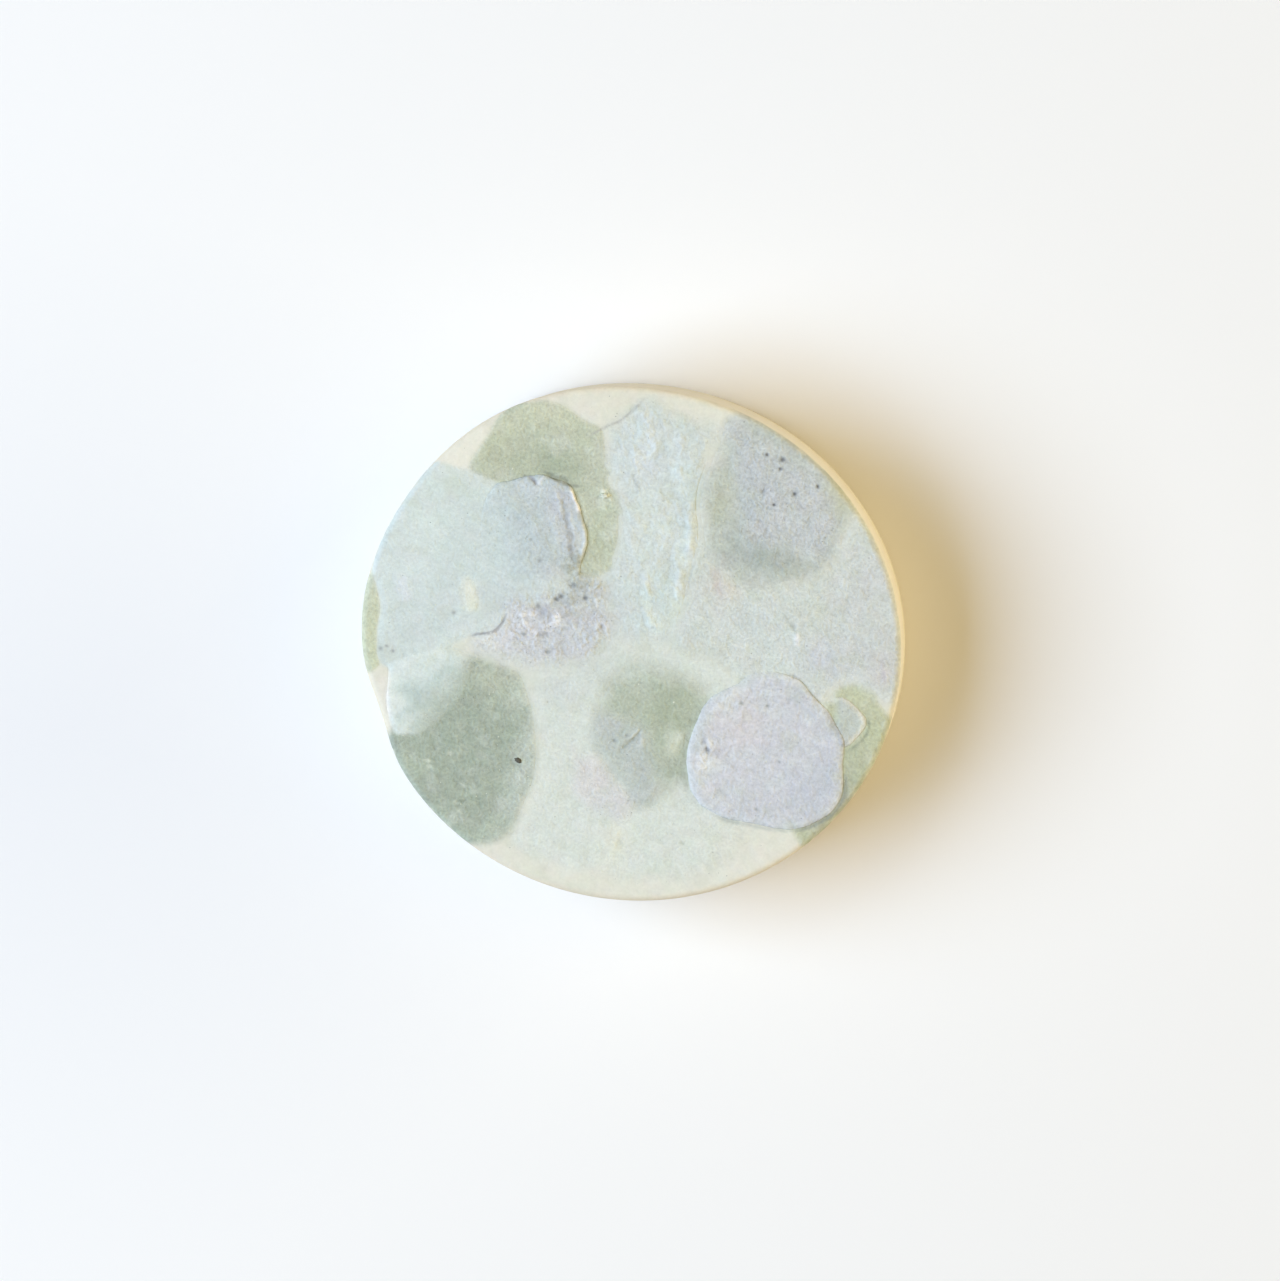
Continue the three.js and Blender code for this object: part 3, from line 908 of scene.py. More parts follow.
            Stroke(((-20, 88), (-17.5, 88.7), (-15, 89)), 0.61, 0.17, PALE_TONE_AND_RIDGE_HIGHLIGHT, 0.5),
            Stroke(((-15, 65.7), (-14, 63), (-12.3, 61), (-10.3, 59.6)), 0.16, -0.05, Tint(176, 184, 178),
                   0.55, 0.1),
            Stroke(((-4, 82), (1, 80), (5, 76), (7, 70)), 0.81, 0.14, PALE_TONE_AND_RIDGE_HIGHLIGHT, 0.3),
            Stroke(((-3, 60), (0, 52), (2, 44), (2, 36)), 1.22, 0.12, PALE_TONE_AND_RIDGE_HIGHLIGHT, 0.25),
            Stroke(((9, 60), (11, 50), (12, 44)), 0.68, 0.12, PALE_TONE_AND_RIDGE_HIGHLIGHT, 0.3),
            Stroke(((6, 40), (7, 33), (7.5, 27)), 0.6, -0.1, Tint(196, 208, 203), 0.3),
            Stroke(((-12, 52), (-10, 44), (-9, 36)), 0.68, 0.12, PALE_TONE_AND_RIDGE_HIGHLIGHT, 0.2),
        ),
    ),
    Pour(
        "mint_sheet_west", "mint_soap", Tint(208, 220, 217), Edge.FEATHER, rise=0.12, width=1.2, sink=1.1,
        blend=0.45, bleed=0.35, grain=0.7, wrinkle=0.03, margin_tint=Tint(215, 226, 222), margin=3.2,
        spots=(
            Spot((-85, 8), (3, 4), Tint(218, 229, 227), 0.7),
            Spot((-80, -10), (3, 3), Tint(205, 217, 215), 0.7),
            Spot((-88, -27), (1.5, 2), Tint(199, 209, 200), 0.7),
            Spot((-66, 28), (6, 5), Tint(206, 219, 215), 0.7),
            Spot((-84, 30), (4, 5), Tint(216, 228, 222), 0.7),
            Spot((-56, 2), (4, 3), Tint(205, 215, 214), 0.6),
            Spot((-75, 45), (6, 2), Tint(211, 222, 214), 0.6),
            *pinholes(
                SHADOW, (-66, -5.2, 0.3, 0.25, 0.5), (-84.3, -25.7, 0.3, 0.25, 0.5),
                (-89, -26, 0.3, 0.25, 0.5), (-87, -24.5, 0.25, 0.2, 0.5),
            ),
        ),
        strokes=(
            Stroke(((-88, 4), (-86, 0), (-85, -3), (-84, -6)), 0.9, 0.05, Tint(226, 233, 238), 0.6),
        ),
    ),
    Pour(
        "sage_drop_centre", "sage_soap", Tint(183, 193, 175), sink=3.2, blend=2.6, bleed=2.0, wrinkle=0.04,
        spots=(
            Spot((18, -15), (3.5, 2.5), Tint(175, 186, 166), 0.9),
            Spot((22, -24), (2.5, 3), Tint(173, 184, 162), 0.9),
            Spot((7, -12), (2.5, 2.5), Tint(192, 203, 190), 0.8),
            Spot((31, -46), (1.6, 2), Tint(160, 172, 154), 1.0),
            Spot((30, -14), (2, 2.5), Tint(190, 199, 180), 0.7),
        ),
    ),
    Pour(
        "mint_film_southwest", "mint_soap", Tint(188, 205, 200), Edge.FEATHER, rise=0.12, width=0.7,
        sink=0.5,
        blend=0.5, bleed=0.25, grain=0.7, wrinkle=0.02, opacity=0.97,
        margin_tint=Tint(222, 233, 228), margin=5.4,
        fades=(Fade((-56, -44), (-68, -38)), Fade((-50, -24), (-60, -29))),
        spots=(
            Spot((-66, -44), (3, 3.2), DEEP_SAGE, 0.3),
            Spot((-74, -31), (3.5, 2), Tint(216, 228, 224), 0.8),
            Spot((-60, -29), (2.5, 2.5), Tint(192, 206, 198), 0.7),
        ),
        # Painted highlight along the film's raised rim.
        strokes=(
            Stroke(((-85, -33.5), (-83.8, -37), (-83.2, -41), (-82.5, -45), (-81, -49), (-79.3, -53)),
                   0.42, 0.16, Tint(255, 255, 253), 1.0, 0.15),
        ),
    ),
    Pour(
        "lilac_skin_northeast", "grey_lilac_soap", Tint(198, 204, 206), Edge.FEATHER, rise=0.06, width=1.8,
        sink=0.5,
        blend=2.6, bleed=1.6, opacity=0.85, grain=1.5, wrinkle=0.09, crumble=0.04,
        fades=(Fade((40, 40), (42, 58)),),
        spots=(
            Spot((25, 77), (2, 3.5), Tint(197, 205, 212), 0.8),
            Spot((28, 63), (2, 3), Tint(187, 199, 203), 0.8),
            Spot((48, 66), (4, 4), Tint(203, 208, 208), 0.8),
            Spot((33, 86), (3, 2), Tint(197, 203, 199), 0.7),
            *pinholes(
                PIT_STAIN_AND_SHADE, (31.3, 85, 0.24, 0.22, 0.8, -0.12), (37.5, 84.7, 0.34, 0.3, 0.85, -0.16),
                (37.5, 81, 0.26, 0.22, 0.8, -0.12), (52.4, 78, 0.22, 0.2, 0.75, -0.12),
                (44.9, 73, 0.26, 0.22, 0.85, -0.14),
            ),
            Spot((33.3, 70.7), (0.28, 0.28), SHADOW, 0.8, -0.12, fine=True),
            Spot((38.5, 66.8), (0.22, 0.2), PIT_STAIN_AND_SHADE, 0.75, -0.12, fine=True),
            *pinholes(
                SHADOW, (51.5, 45.5, 0.4, 0.35, 0.5, -0.03), (40, 41.5, 0.4, 0.35, 0.4, -0.03),
            ),
        ),
        # Painted highlights on two ridges and painted shade in a groove.
        strokes=(
            Stroke(((19, 83), (20.5, 79), (22, 76)), 0.4, 0.08, Tint(214, 221, 232), 0.5),
            Stroke(((28, 57), (30, 53), (33, 50)), 0.6, 0.06, Tint(206, 214, 215), 0.5),
            Stroke(((33, 76), (33.6, 70), (34, 64)), 0.5, -0.04, Tint(176, 184, 190), 0.4),
        ),
    ),
    Pour(
        "pink_smear_east", "pink_soap", Tint(212, 213, 206), Edge.FEATHER, rise=0.04, width=1.2, sink=0.5,
        blend=1.6, bleed=0.6, opacity=0.75, wrinkle=0.05,
        # Pink of the soap, with painted shade in a groove and a painted highlight on a ridge.
        strokes=(
            Stroke(((24.5, 36), (26, 32), (28, 28)), 0.45, -0.04, Tint(196, 190, 186), 0.45),
            Stroke(((27, 34), (29.5, 30), (31, 26)), 0.6, 0.04, Tint(222, 220, 212), 0.5),
        ),
    ),
    Pour(
        "pink_smear_south", "pink_soap", Tint(216, 217, 216), Edge.FEATHER, rise=0.05, width=1.5, sink=0.5,
        blend=2.0, bleed=0.8, opacity=0.85, wrinkle=0.03,
        spots=(Spot((-3, -52), (3, 3), Tint(217, 214, 213), 0.8),
               Spot((8, -64), (3, 2.5), Tint(211, 215, 216), 0.7)),
    ),
    Pour(
        "lilac_film_centre", "grey_lilac_soap", Tint(192, 201, 197), Edge.FEATHER, rise=0.07, width=1.2,
        sink=0.5,
        blend=2.2, bleed=1.4, opacity=0.88, wrinkle=0.06, spacing=0.15,
        fades=(Fade((22, -28), (10, -34)),),
        spots=(
            Spot((0, -34), (3, 3), Tint(194, 202, 199), 0.7),
            Spot((18, -46), (3.5, 3), Tint(187, 196, 191), 0.7),
            Spot((14, -56), (3, 2), Tint(199, 206, 206), 0.7),
            *pinholes(
                SHADOW, (7, -34.8, 0.28, 0.24, 0.7, -0.08), (3, -38, 0.24, 0.22, 0.6, -0.08),
            ),
        ),
        # Painted shade in grooves and painted highlights on ridges.
        strokes=(
            Stroke(((6.5, -40.5), (8, -38), (9.5, -36), (10.8, -33.5), (11.3, -31.5)), 0.24, -0.168,
                   Tint(150, 158, 150), 0.6),
            Stroke(((11.5, -38.5), (12.8, -36.8), (13.2, -34)), 0.24, 0.096, Tint(222, 228, 224), 0.75),
            Stroke(((8.5, -35.5), (10, -33), (10.8, -31)), 0.2, 0.084, Tint(222, 228, 222), 0.7),
            Stroke(((6, -30), (8, -28.5), (10, -29)), 0.25, 0.06, Tint(214, 220, 212), 0.5),
            Stroke(((4, -36), (5.5, -33), (6.5, -31)), 0.25, -0.06, Tint(168, 176, 170), 0.5),
        ),
    ),
    Pour(
        "lilac_smear_centre", "lilac_soap", Tint(203, 207, 210), Edge.FEATHER, rise=0.1, width=2.4,
        sink=0.5,
        blend=2.6, bleed=1.4, opacity=0.92, grain=1.3, wrinkle=0.09, crumble=0.14, rag=0.25, spacing=0.13,
        fades=(Fade((-30, -24), (-34, -10)),),
        spots=(
            Spot((-45, -4), (2.5, 2), Tint(212, 211, 211), 0.8),
            Spot((-50, -14), (3, 1.6), Tint(219, 219, 216), 0.85),
            Spot((-41, -10), (3, 2.5), Tint(211, 214, 218), 0.7),
            Spot((-25, 15), (3, 2.5), Tint(186, 193, 188), 0.85),
            Spot((-20, 6), (2, 3), Tint(200, 204, 205), 0.6),
            Spot((-25.5, 14), (0.8, 4.6), Tint(174, 178, 172), 0.55, 0.1, crumbly=True),
            Spot((-22.5, 20), (2.2, 1.2), Tint(166, 170, 156), 0.75, 0.12, crumbly=True),
            Spot((-36, 8), (3, 2), Tint(182, 186, 194), 0.5, 0.08, crumbly=True),
            # A dark pit: stain with painted shade in the hollow.
            Spot((-34, 3.5), (0.75, 0.45), Tint(170, 173, 180), 0.8, -0.1),
            *pinholes(
                PIT_STAIN_AND_SHADE, (-31.3, 20, 0.5, 0.35, 0.6, -0.18), (-30.5, 10, 0.35, 0.28, 0.6, -0.15),
                (-29.2, 11.5, 0.35, 0.28, 0.6, -0.15), (-26, 23.5, 0.3, 0.4, 0.6, -0.15),
                (-26, 17, 0.5, 0.35, 0.55, -0.18), (-20.3, 13.2, 0.3, 0.3, 0.55, -0.14),
                (-36.3, 5.5, 0.3, 0.3, 0.5, -0.12),
            ),
            *pinholes(
                WHITE_LUMP_AND_HIGHLIGHT, (-29, 3, 0.5, 0.4, 0.8, 0.2), (-28.5, 1, 0.45, 0.4, 0.7, 0.18),
                (-41, 1, 0.5, 0.35, 0.6, 0.14), (-38, 2, 0.5, 0.4, 0.6, 0.16),
            ),
            *pinholes(
                SHADOW, (-29, -11, 0.4, 0.25, 0.7, -0.08), (-39, -6.5, 0.3, 0.25, 0.6, -0.06),
            ),
        ),
        # Painted highlights on ridges and raised edges, painted shade in grooves and along the seam at the
        # smear's edge.
        strokes=(
            Stroke(((-41, -0.5), (-39.5, -2.5), (-37.5, -4), (-35, -5), (-33, -4.6)), 0.24, 0.07,
                   WHITE_LUMP_AND_HIGHLIGHT, 0.6),
            Stroke(((-34, -5.6), (-32, -4.8), (-30.3, -3.6)), 0.24, -0.072, Tint(156, 158, 162), 0.6),
            Stroke(((-16.5, 14.5), (-15.6, 12.3), (-15, 10.5)), 0.24, 0.096, WHITE_LUMP_AND_HIGHLIGHT, 0.7),
            Stroke(((-10.5, 5), (-9.3, 2.5), (-8.4, 0)), 0.24, 0.096, WHITE_LUMP_AND_HIGHLIGHT, 0.7),
            Stroke(((-12.2, 5), (-11.7, 3.8), (-11.2, 2.5)), 0.24, -0.084, Tint(140, 142, 146), 0.6),
            Stroke(((-13, 22), (-12.2, 18), (-11.5, 14)), 0.2, -0.1, Tint(164, 168, 168), 0.6),
            Stroke(((-30, 5.6), (-27.4, 3.2), (-29.5, 0.6), (-32.5, -1.8)), 0.22, 0.07, WHITE_LUMP_AND_HIGHLIGHT, 0.6,
                   0.5),
            Stroke(((-25, 8), (-22, 9), (-19, 11)), 0.3, 0.096, PALE_TONE_AND_RIDGE_HIGHLIGHT, 0.5),
            Stroke(((-24, 4), (-21, 1), (-18, 0)), 0.3, 0.084, PALE_TONE_AND_RIDGE_HIGHLIGHT, 0.45),
            Stroke(((-20, 16), (-18.5, 18), (-16, 19.5)), 0.3, 0.096, PALE_TONE_AND_RIDGE_HIGHLIGHT, 0.5),
            Stroke(((-14, 6), (-13.4, 2), (-13.8, -3)), 0.3, 0.084, PALE_TONE_AND_RIDGE_HIGHLIGHT, 0.4),
            Stroke(((-36, 7), (-33, 8.5), (-31.5, 11)), 0.28, 0.084, PALE_TONE_AND_RIDGE_HIGHLIGHT, 0.5),
            Stroke(((-47, -0.5), (-47.4, -3), (-48.3, -5.5), (-49.3, -7.5), (-50.8, -9), (-52.8, -10),
                    (-54.5, -10.6),
                    (-56, -11.3), (-57.5, -12.3)), 0.2, -0.084, Tint(126, 128, 134), 0.95, 0.15),
            Stroke(((-48.3, -1), (-49, -4), (-50.4, -6.8), (-52, -8.6), (-55, -9.6)), 0.35, 0.1, PALE_TONE_AND_RIDGE_HIGHLIGHT,
                   0.4),
        ),
    ),
    Pour(
        "cream_spot_centre", "cream_soap", Tint(210, 216, 196), sink=0.4, blend=1.3, bleed=0.8, opacity=0.9,
        wrinkle=0.02,
    ),
    Pour(
        "cream_spot_west", "cream_soap", Tint(230, 234, 219), sink=0.4, blend=0.9, bleed=0.8, opacity=0.9,
        wrinkle=0.02, fades=(Fade((-59, -7.5), (-60, -1)),),
    ),
    Pour(
        "mint_tab_east", "mint_soap", Tint(197, 204, 195), Edge.ROLL, rise=0.2, width=0.6, sink=0.45,
        bead=0.06,
        blend=0.1, wrinkle=0.03, spacing=0.16, margin_tint=Tint(216, 221, 214), margin=0.8,
        fades=(Fade((77.5, -3), (81.5, -2)),),
    ),
    Pour(
        "lilac_flap_west", "grey_lilac_soap", Tint(194, 206, 206), Edge.TORN, rise=0.4, width=0.55,
        sink=0.35,
        blend=0.1, rag=0.16, wrinkle=0.05, spacing=0.14,
        fades=(Fade((-65, 24), (-43, 36)), Fade((-31.5, 13), (-37, 23))),
        spots=(
            Spot((-37, 47), (2.2, 3), Tint(196, 199, 205), 0.8),
            Spot((-33, 20), (3, 2.2), Tint(200, 207, 209), 0.7),
            Spot((-50, 49), (3, 1.6), Tint(203, 212, 214), 0.7),
            Spot((-27, 34), (0.8, 3), Tint(206, 214, 212), 0.8),
            Spot((-36, 44), (0.7, 2.6), Tint(176, 180, 182), 0.5, 0.09, turn=25, crumbly=True),
            Spot((-32.5, 35), (1.8, 3.6), Tint(204, 209, 210), 0.7, turn=20),
            Spot((-31, 32), (0.6, 2.6), Tint(176, 180, 176), 0.4, 0.1, turn=20, crumbly=True),
            Spot((-26.5, 25), (1.6, 2), Tint(162, 164, 154), 0.8, 0.12, crumbly=True),
            *pinholes(
                SHADOW, (-40, 23, 0.3, 0.25, 0.6, -0.05), (-45, 30, 0.25, 0.2, 0.4, -0.03),
            ),
        ),
        # Painted shade along the torn flap's top edge, in its crack and grooves, and painted highlights on
        # its lip and ridges.
        strokes=(
            Stroke(((-57, 52.3), (-54, 53.2), (-51.5, 54)), 0.2, -0.05, SHADOW, 0.4),
            Stroke(((-51.5, 54), (-50, 53), (-48.5, 52), (-47.5, 51.2)), 0.26, -0.18, Tint(140, 142, 152),
                   0.8),
            Stroke(((-47.3, 51), (-46.8, 53.5), (-46.3, 55)), 0.28, 0.132, WHITE_LUMP_AND_HIGHLIGHT, 0.9),
            Stroke(((-35.8, 54), (-34, 51.6), (-32.3, 49.2), (-30.8, 46.8), (-29.3, 44.6)),
                   0.38, 0.14, Tint(255, 255, 255), 1.0, 0.1),
            Stroke(((-28.4, 42.5), (-26.4, 38.5), (-25.4, 35), (-25.1, 31), (-25.4, 27.5)), 0.36, 0.096,
                   PALE_TONE_AND_RIDGE_HIGHLIGHT, 0.75),
            Stroke(((-38.5, 50), (-36.5, 46.5), (-34.8, 42.5), (-33, 38.5), (-31.6, 34.5), (-30.3, 30.5),
                    (-29, 27), (-27.5, 24)), 0.3, -0.084, Tint(164, 168, 168), 0.5, 1.1),
            Stroke(((-31.5, 38), (-29.8, 33), (-28.8, 29), (-27.6, 25.5), (-26.5, 23)), 0.26, -0.12,
                   Tint(160, 162, 156), 0.5, 1.1),
            Stroke(((-41.5, 44), (-38.5, 39), (-36.3, 34.5), (-35, 30.5)), 0.5, 0.07, PALE_TONE_AND_RIDGE_HIGHLIGHT, 0.3, 0.9),
            Stroke(((-40.5, 51), (-38.4, 47), (-36.6, 43)), 0.3, 0.084, PALE_TONE_AND_RIDGE_HIGHLIGHT, 0.4),
            Stroke(((-33.6, 44), (-31.6, 40), (-30, 36)), 0.3, 0.072, PALE_TONE_AND_RIDGE_HIGHLIGHT, 0.4),
        ),
    ),
    Pour(
        "lilac_pat_southeast", "lilac_soap", Tint(208, 212, 217), Edge.ROLL, rise=0.36, width=1.0, sink=0.4,
        bead=0.04,
        blend=0.1, rag=0.07, wrinkle=0.06, spacing=0.19, margin_tint=Tint(214, 220, 221), margin=1.5,
        fades=(Fade((43, 3), (48, -6)),),
        spots=(
            Spot((60, -5), (4, 2.2), Tint(205, 210, 214), 0.7),
            Spot((45, -20), (3.5, 3), Tint(213, 213, 216), 0.8),
            Spot((48, -18), (3, 3), Tint(216, 213, 215), 0.6),
            Spot((82, -34), (2, 5), Tint(195, 201, 206), 0.8),
            Spot((75, -38), (3, 3.5), Tint(199, 205, 214), 0.8),
            Spot((60, -50), (5, 2.2), Tint(202, 207, 212), 0.7),
            Spot((38, -37), (1.8, 1.5), Tint(224, 228, 224), 0.8, 0.05),
            Spot((38, -33.5), (1.5, 1.4), Tint(228, 231, 228), 0.7, 0.13, crumbly=True),
            Spot((36.3, -39), (1.1, 0.8), Tint(232, 235, 232), 0.8, 0.14, crumbly=True),
            Spot((42, -14), (3, 1.2), Tint(214, 216, 220), 0.5, 0.08, turn=35, crumbly=True),
            Spot((40, -12), (1.8, 2.5), Tint(213, 219, 218), 0.7),
            Spot((33, -30), (0.9, 3), Tint(203, 212, 213), 0.7),
            *pinholes(
                SHADOW, (45, -11.3, 0.3, 0.25, 0.6, -0.04), (54.5, -9.8, 0.25, 0.2, 0.5, -0.04),
                (64, -29.8, 0.25, 0.2, 0.45, -0.03), (60, -50, 0.25, 0.2, 0.45, -0.03),
            ),
            # Two dark pits: stain with painted shade in the hollow.
            Spot((37.3, -32.3), (0.4, 0.35), Tint(150, 154, 160), 0.8, -0.2, fine=True),
            Spot((35, -29.5), (0.3, 0.4), Tint(168, 172, 178), 0.7, -0.12, fine=True),
            Spot((35.5, -36), (0.5, 0.4), WHITE_LUMP_AND_HIGHLIGHT, 0.6, 0.1, fine=True),
            # A dark hollow in the wrinkles: stain with painted shade in it.
            Spot((41, -33), (1.2, 0.8), Tint(188, 190, 196), 0.6, -0.05),
        ),
        # Painted highlights on the pat's ridges and a raised edge, and a broad band of painted shade by its
        # upper right edge.
        strokes=(
            Stroke(((36, -27), (37.2, -29), (38.4, -31.5), (38.8, -33.5)), 0.26, 0.096, WHITE_LUMP_AND_HIGHLIGHT, 0.6),
            Stroke(((77, -5), (80, -8.5), (83, -12), (85, -15)), 0.9, -0.06, Tint(190, 194, 203), 0.6),
            Stroke(((46, -8), (54, -5), (62, -4)), 0.6, 0.06, PALE_TONE_AND_RIDGE_HIGHLIGHT, 0.25),
            Stroke(((33, -26), (35, -19), (38, -12.5), (43, -7.5), (49, -3)), 0.45, 0.08, PALE_TONE_AND_RIDGE_HIGHLIGHT, 0.4),
            Stroke(((34, -40), (38, -46.5), (45, -50.5), (54, -52)), 0.45, 0.06, PALE_TONE_AND_RIDGE_HIGHLIGHT, 0.35),
            Stroke(((42, -12), (48, -11.5), (56, -12)), 0.35, 0.05, PALE_TONE_AND_RIDGE_HIGHLIGHT, 0.25),
        ),
    ),
)


# ---------------- meshes


def outline_of(node: bpy.types.Object) -> Array:
    """The anticlockwise outline of the flat underside of a pour's solid, in mm.

    Args:
        node: the pour's own solid.

    Returns:
        The corners of its longest outline.
    """
    corners = np.array([tuple(v.co) for v in node.data.vertices]) / MM
    low = corners[:, 2].min()
    key = {}
    names = []
    for corner in corners:
        names.append(key.setdefault(tuple(np.round(corner / 0.002).astype(int)), len(key)))
    place = {}
    for name, corner in zip(names, corners):
        place[name] = corner[:2]
    edges = set()
    for face in node.data.polygons:
        if all(corners[i][2] < low + 0.01 for i in face.vertices):
            ring = [names[i] for i in face.vertices]
            for a, b in zip(ring, ring[1:] + ring[:1]):
                if (b, a) in edges:
                    edges.discard((b, a))
                else:
                    edges.add((a, b))
    after = dict(edges)
    loops = []
    while after:
        start, step = after.popitem()
        ring = [start]
        while step != start:
            ring.append(step)
            step = after.pop(step)
        loops.append(np.array([place[i] for i in ring]))
    loop = max(loops, key=lambda ring: np.linalg.norm(np.diff(ring, axis=0), axis=1).sum())
    x, y = loop[:, 0], loop[:, 1]
    turned = (x * np.roll(y, -1) - y * np.roll(x, -1)).sum()
    return loop if turned > 0 else loop[::-1].copy()


def hex_grid(low: Array, high: Array, spacing: float) -> Array:
    """Places in even triangles over a rectangle.

    Args:
        low: its lowest corner.
        high: its highest corner.
        spacing: distance between neighbours.

    Returns:
        The places.
    """
    rows = np.arange(low[1], high[1], spacing * math.sqrt(3) / 2)
    columns = np.arange(low[0], high[0], spacing)
    x, y = np.meshgrid(columns, rows)
    x = x + spacing / 2 * (np.arange(len(rows)) % 2)[:, None]
    return np.stack([x.ravel(), y.ravel()], axis=1)


def filled(loop: Array, points: Array) -> tuple[Array, Array]:
    """Triangles over the inside of a loop.

    Args:
        loop: its corners, anticlockwise.
        points: more corners inside it.

    Returns:
        All corners, the loop's first, and the triangles over them.
    """
    corners = np.concatenate([loop, points])
    result = delaunay_2d_cdt([Vector(p) for p in corners.tolist()], [], [list(range(len(loop)))], 1, 1e-6)
    source = np.array([origins[0] if origins else -1 for origins in result[3]])
    faces = source[np.array(result[2])]
    return corners, faces[(faces >= 0).all(axis=1)]


def mesh_object(
    name: str, corners: Array, faces: Array | list, tints: Array | None = None
) -> bpy.types.Object:
    """A smooth-shaded object in the scene.

    Args:
        name: its name.
        corners: its corners in mm.
        faces: its faces.
        tints: a shown colour and a graininess for each corner.

    Returns:
        The object.
    """
    mesh = bpy.data.meshes.new(name)
    mesh.from_pydata((corners * MM).tolist(), [], faces if isinstance(faces, list) else faces.tolist())
    mesh.shade_smooth()
    if tints is not None:
        layer = mesh.color_attributes.new(TINT, "FLOAT_COLOR", "POINT")
        full = tints.copy()
        full[:, :3] = to_linear(np.clip(tints[:, :3], 0.0, 1.0)) / LIGHT_ON_FACE
        layer.data.foreach_set("color", full.ravel())
    obj = bpy.data.objects.new(name, mesh)
    bpy.context.scene.collection.objects.link(obj)
    return obj


def report(obj: bpy.types.Object) -> None:
    """Logs a finished piece."""
    mesh = obj.data
    mesh.calc_loop_triangles()
    log.info("%s: %d triangles", obj.name, len(mesh.loop_triangles))


@dataclass
class Surface:
    """Heights and colours of the poured face, worked out for any layer at any place."""

    skin: Skin
    depths: list[Depth]
    noise: Noise = field(default_factory=lambda: Noise(7))
    press_depth: float = 0.3
    broad: float = 0.05
    grain: float = 0.008
    plain_wrinkle: float = 0.02
    patch_size: float = 3.2
    patch_strength: float = 0.2
    fine_again: float = 0.6
    light_swell: float = 0.012
    blush_swell: float = 0.0045

    def measures(self, points: Array) -> list[Array]:
        """How deep each place is in every pour."""
        return [depth.at(points) for depth in self.depths]

    def relief(self, points: Array, deep: list[Array], top: int) -> Array:
        """Height of a layer's upper side above the smooth skin.

        Args:
            points: places on the unrolled skin.
            deep: how deep each place is in every pour.
            top: number of the layer, -1 for the body.

        Returns:
            Heights in mm.
        """
        skin, noise = self.skin, self.noise
        past = skin.past_face(points)
        face = 1.0 - ramp(-1.5, 0.6, past)
        wrinkle = np.full(len(points), self.plain_wrinkle)
        crumble = np.zeros(len(points))
        total = np.zeros(len(points))
        for number, pour in enumerate(POURS):
            cover = ramp(-0.6, 1.2, deep[number]) * pour.left(points, skin)
            wrinkle = wrinkle + (pour.wrinkle - wrinkle) * cover
            crumble = crumble + (pour.crumble - crumble) * cover
            if number <= top:
                total += pour.thickness(points, deep[number], skin, noise) * (1.0 - ramp(0.0, 2.2, past))
                held = ramp(0.0, 0.15, deep[number])
                for mark in pour.strokes + pour.spots:
                    if mark.lift:
                        total += mark.lift * mark.profile(points, skin, noise) * held * face
        folds = noise.creases(points, 3.1) * 0.6 + noise.creases(points + 90.0, 6.5)
        folds = folds + noise.octaves(points, 1.3, 3) * 0.4
        total += wrinkle * folds * (0.15 + 0.85 * face)
        if crumble.any():
            lumps = noise.creases(points + 150.0, 1.25) + 0.6 * noise.octaves(points + 70.0, 0.8, 2)
            patchy = 0.35 + 0.65 * ramp(-0.5, 0.5, noise.octaves(points + 310.0, 3.6, 2))
            total += crumble * lumps * patchy
        total += self.broad * noise.octaves(points + 400.0, 14.0, 2) * face
        return total + self.grain * noise.at(points, 0.55)

    def pressed(self, points: Array, deep: list[Array], top: int) -> Array:
        """How far a layer is let down under those above it.

        Args:
            points: places on the unrolled skin.
            deep: how deep each place is in every pour.
            top: number of the layer, -1 for the body.

        Returns:
            Depths in mm.
        """
        down = np.zeros(len(points))
        for number in range(top + 1, len(POURS)):
            pour = POURS[number]
            thick = pour.thickness(points, deep[number], self.skin, self.noise)
            hidden = np.clip(8.0 * (thick - 0.012), 0.0, self.press_depth) * ramp(0.05, 0.5, deep[number])
            down = np.maximum(down, hidden)
        return down

    def tints(self, points: Array, deep: list[Array], top: int) -> Array:
        """Colours of a layer's upper side.

        Args:
            points: places on the unrolled skin.
            deep: how deep each place is in every pour.
            top: number of the layer, -1 for the body.

        Returns:
            Three numbers from 0 to 1 and a graininess for each place.
        """
        skin, noise = self.skin, self.noise
        grain = np.full(len(points), CREAM_GRAIN)
        shown = np.tile(CREAM.shown(), (len(points), 1))
        for mark in CREAM_SPOTS:
            shown = blended(shown, mark.tint.shown(), mark.strength * mark.profile(points, skin, noise))
        past = skin.past_face(points)
        shown = blended(shown, WALL_CREAM.shown(), ramp(-0.3, 1.2, past))
        on_face = 1.0 - ramp(0.4, 2.4, past + 0.6 * noise.octaves(points + 77.0, 2.2, 2))
        for number, pour in enumerate(POURS):
            if number > top and pour.bleed == 0:
                continue
            depth = deep[number]
            near = depth > -(pour.bleed + 1.5)
            if near.any():
                cover = pour.cover(points[near], depth[near], skin, noise, number == top) * on_face[near]
                colour = pour.colour(points[near], depth[near], skin, noise)
                shown[near] = blended(shown[near], colour, cover)
                grain[near] += (pour.grain - grain[near]) * cover
        face = 1.0 - ramp(0.2, 1.2, past)
        patch = noise.octaves(points + 140.0, self.patch_size, 2)
        shown = blended(shown, SAGE.shown(), self.patch_strength * face * ramp(0.2, 0.8, patch))
        shown = blended(shown, PALE_TONE_AND_RIDGE_HIGHLIGHT.shown(), self.patch_strength * face * ramp(0.2, 0.8, -patch))
        # Painted highlights on ridges and lips, painted shade in creases and beside raised edges, and one
        # pink streak of real colour.
        for mark in PAINTED_LIGHT_AND_TINT_LINES:
            share = mark.strength * mark.profile(points, skin, noise) * face
            shown = blended(shown, mark.tint.shown(), share)
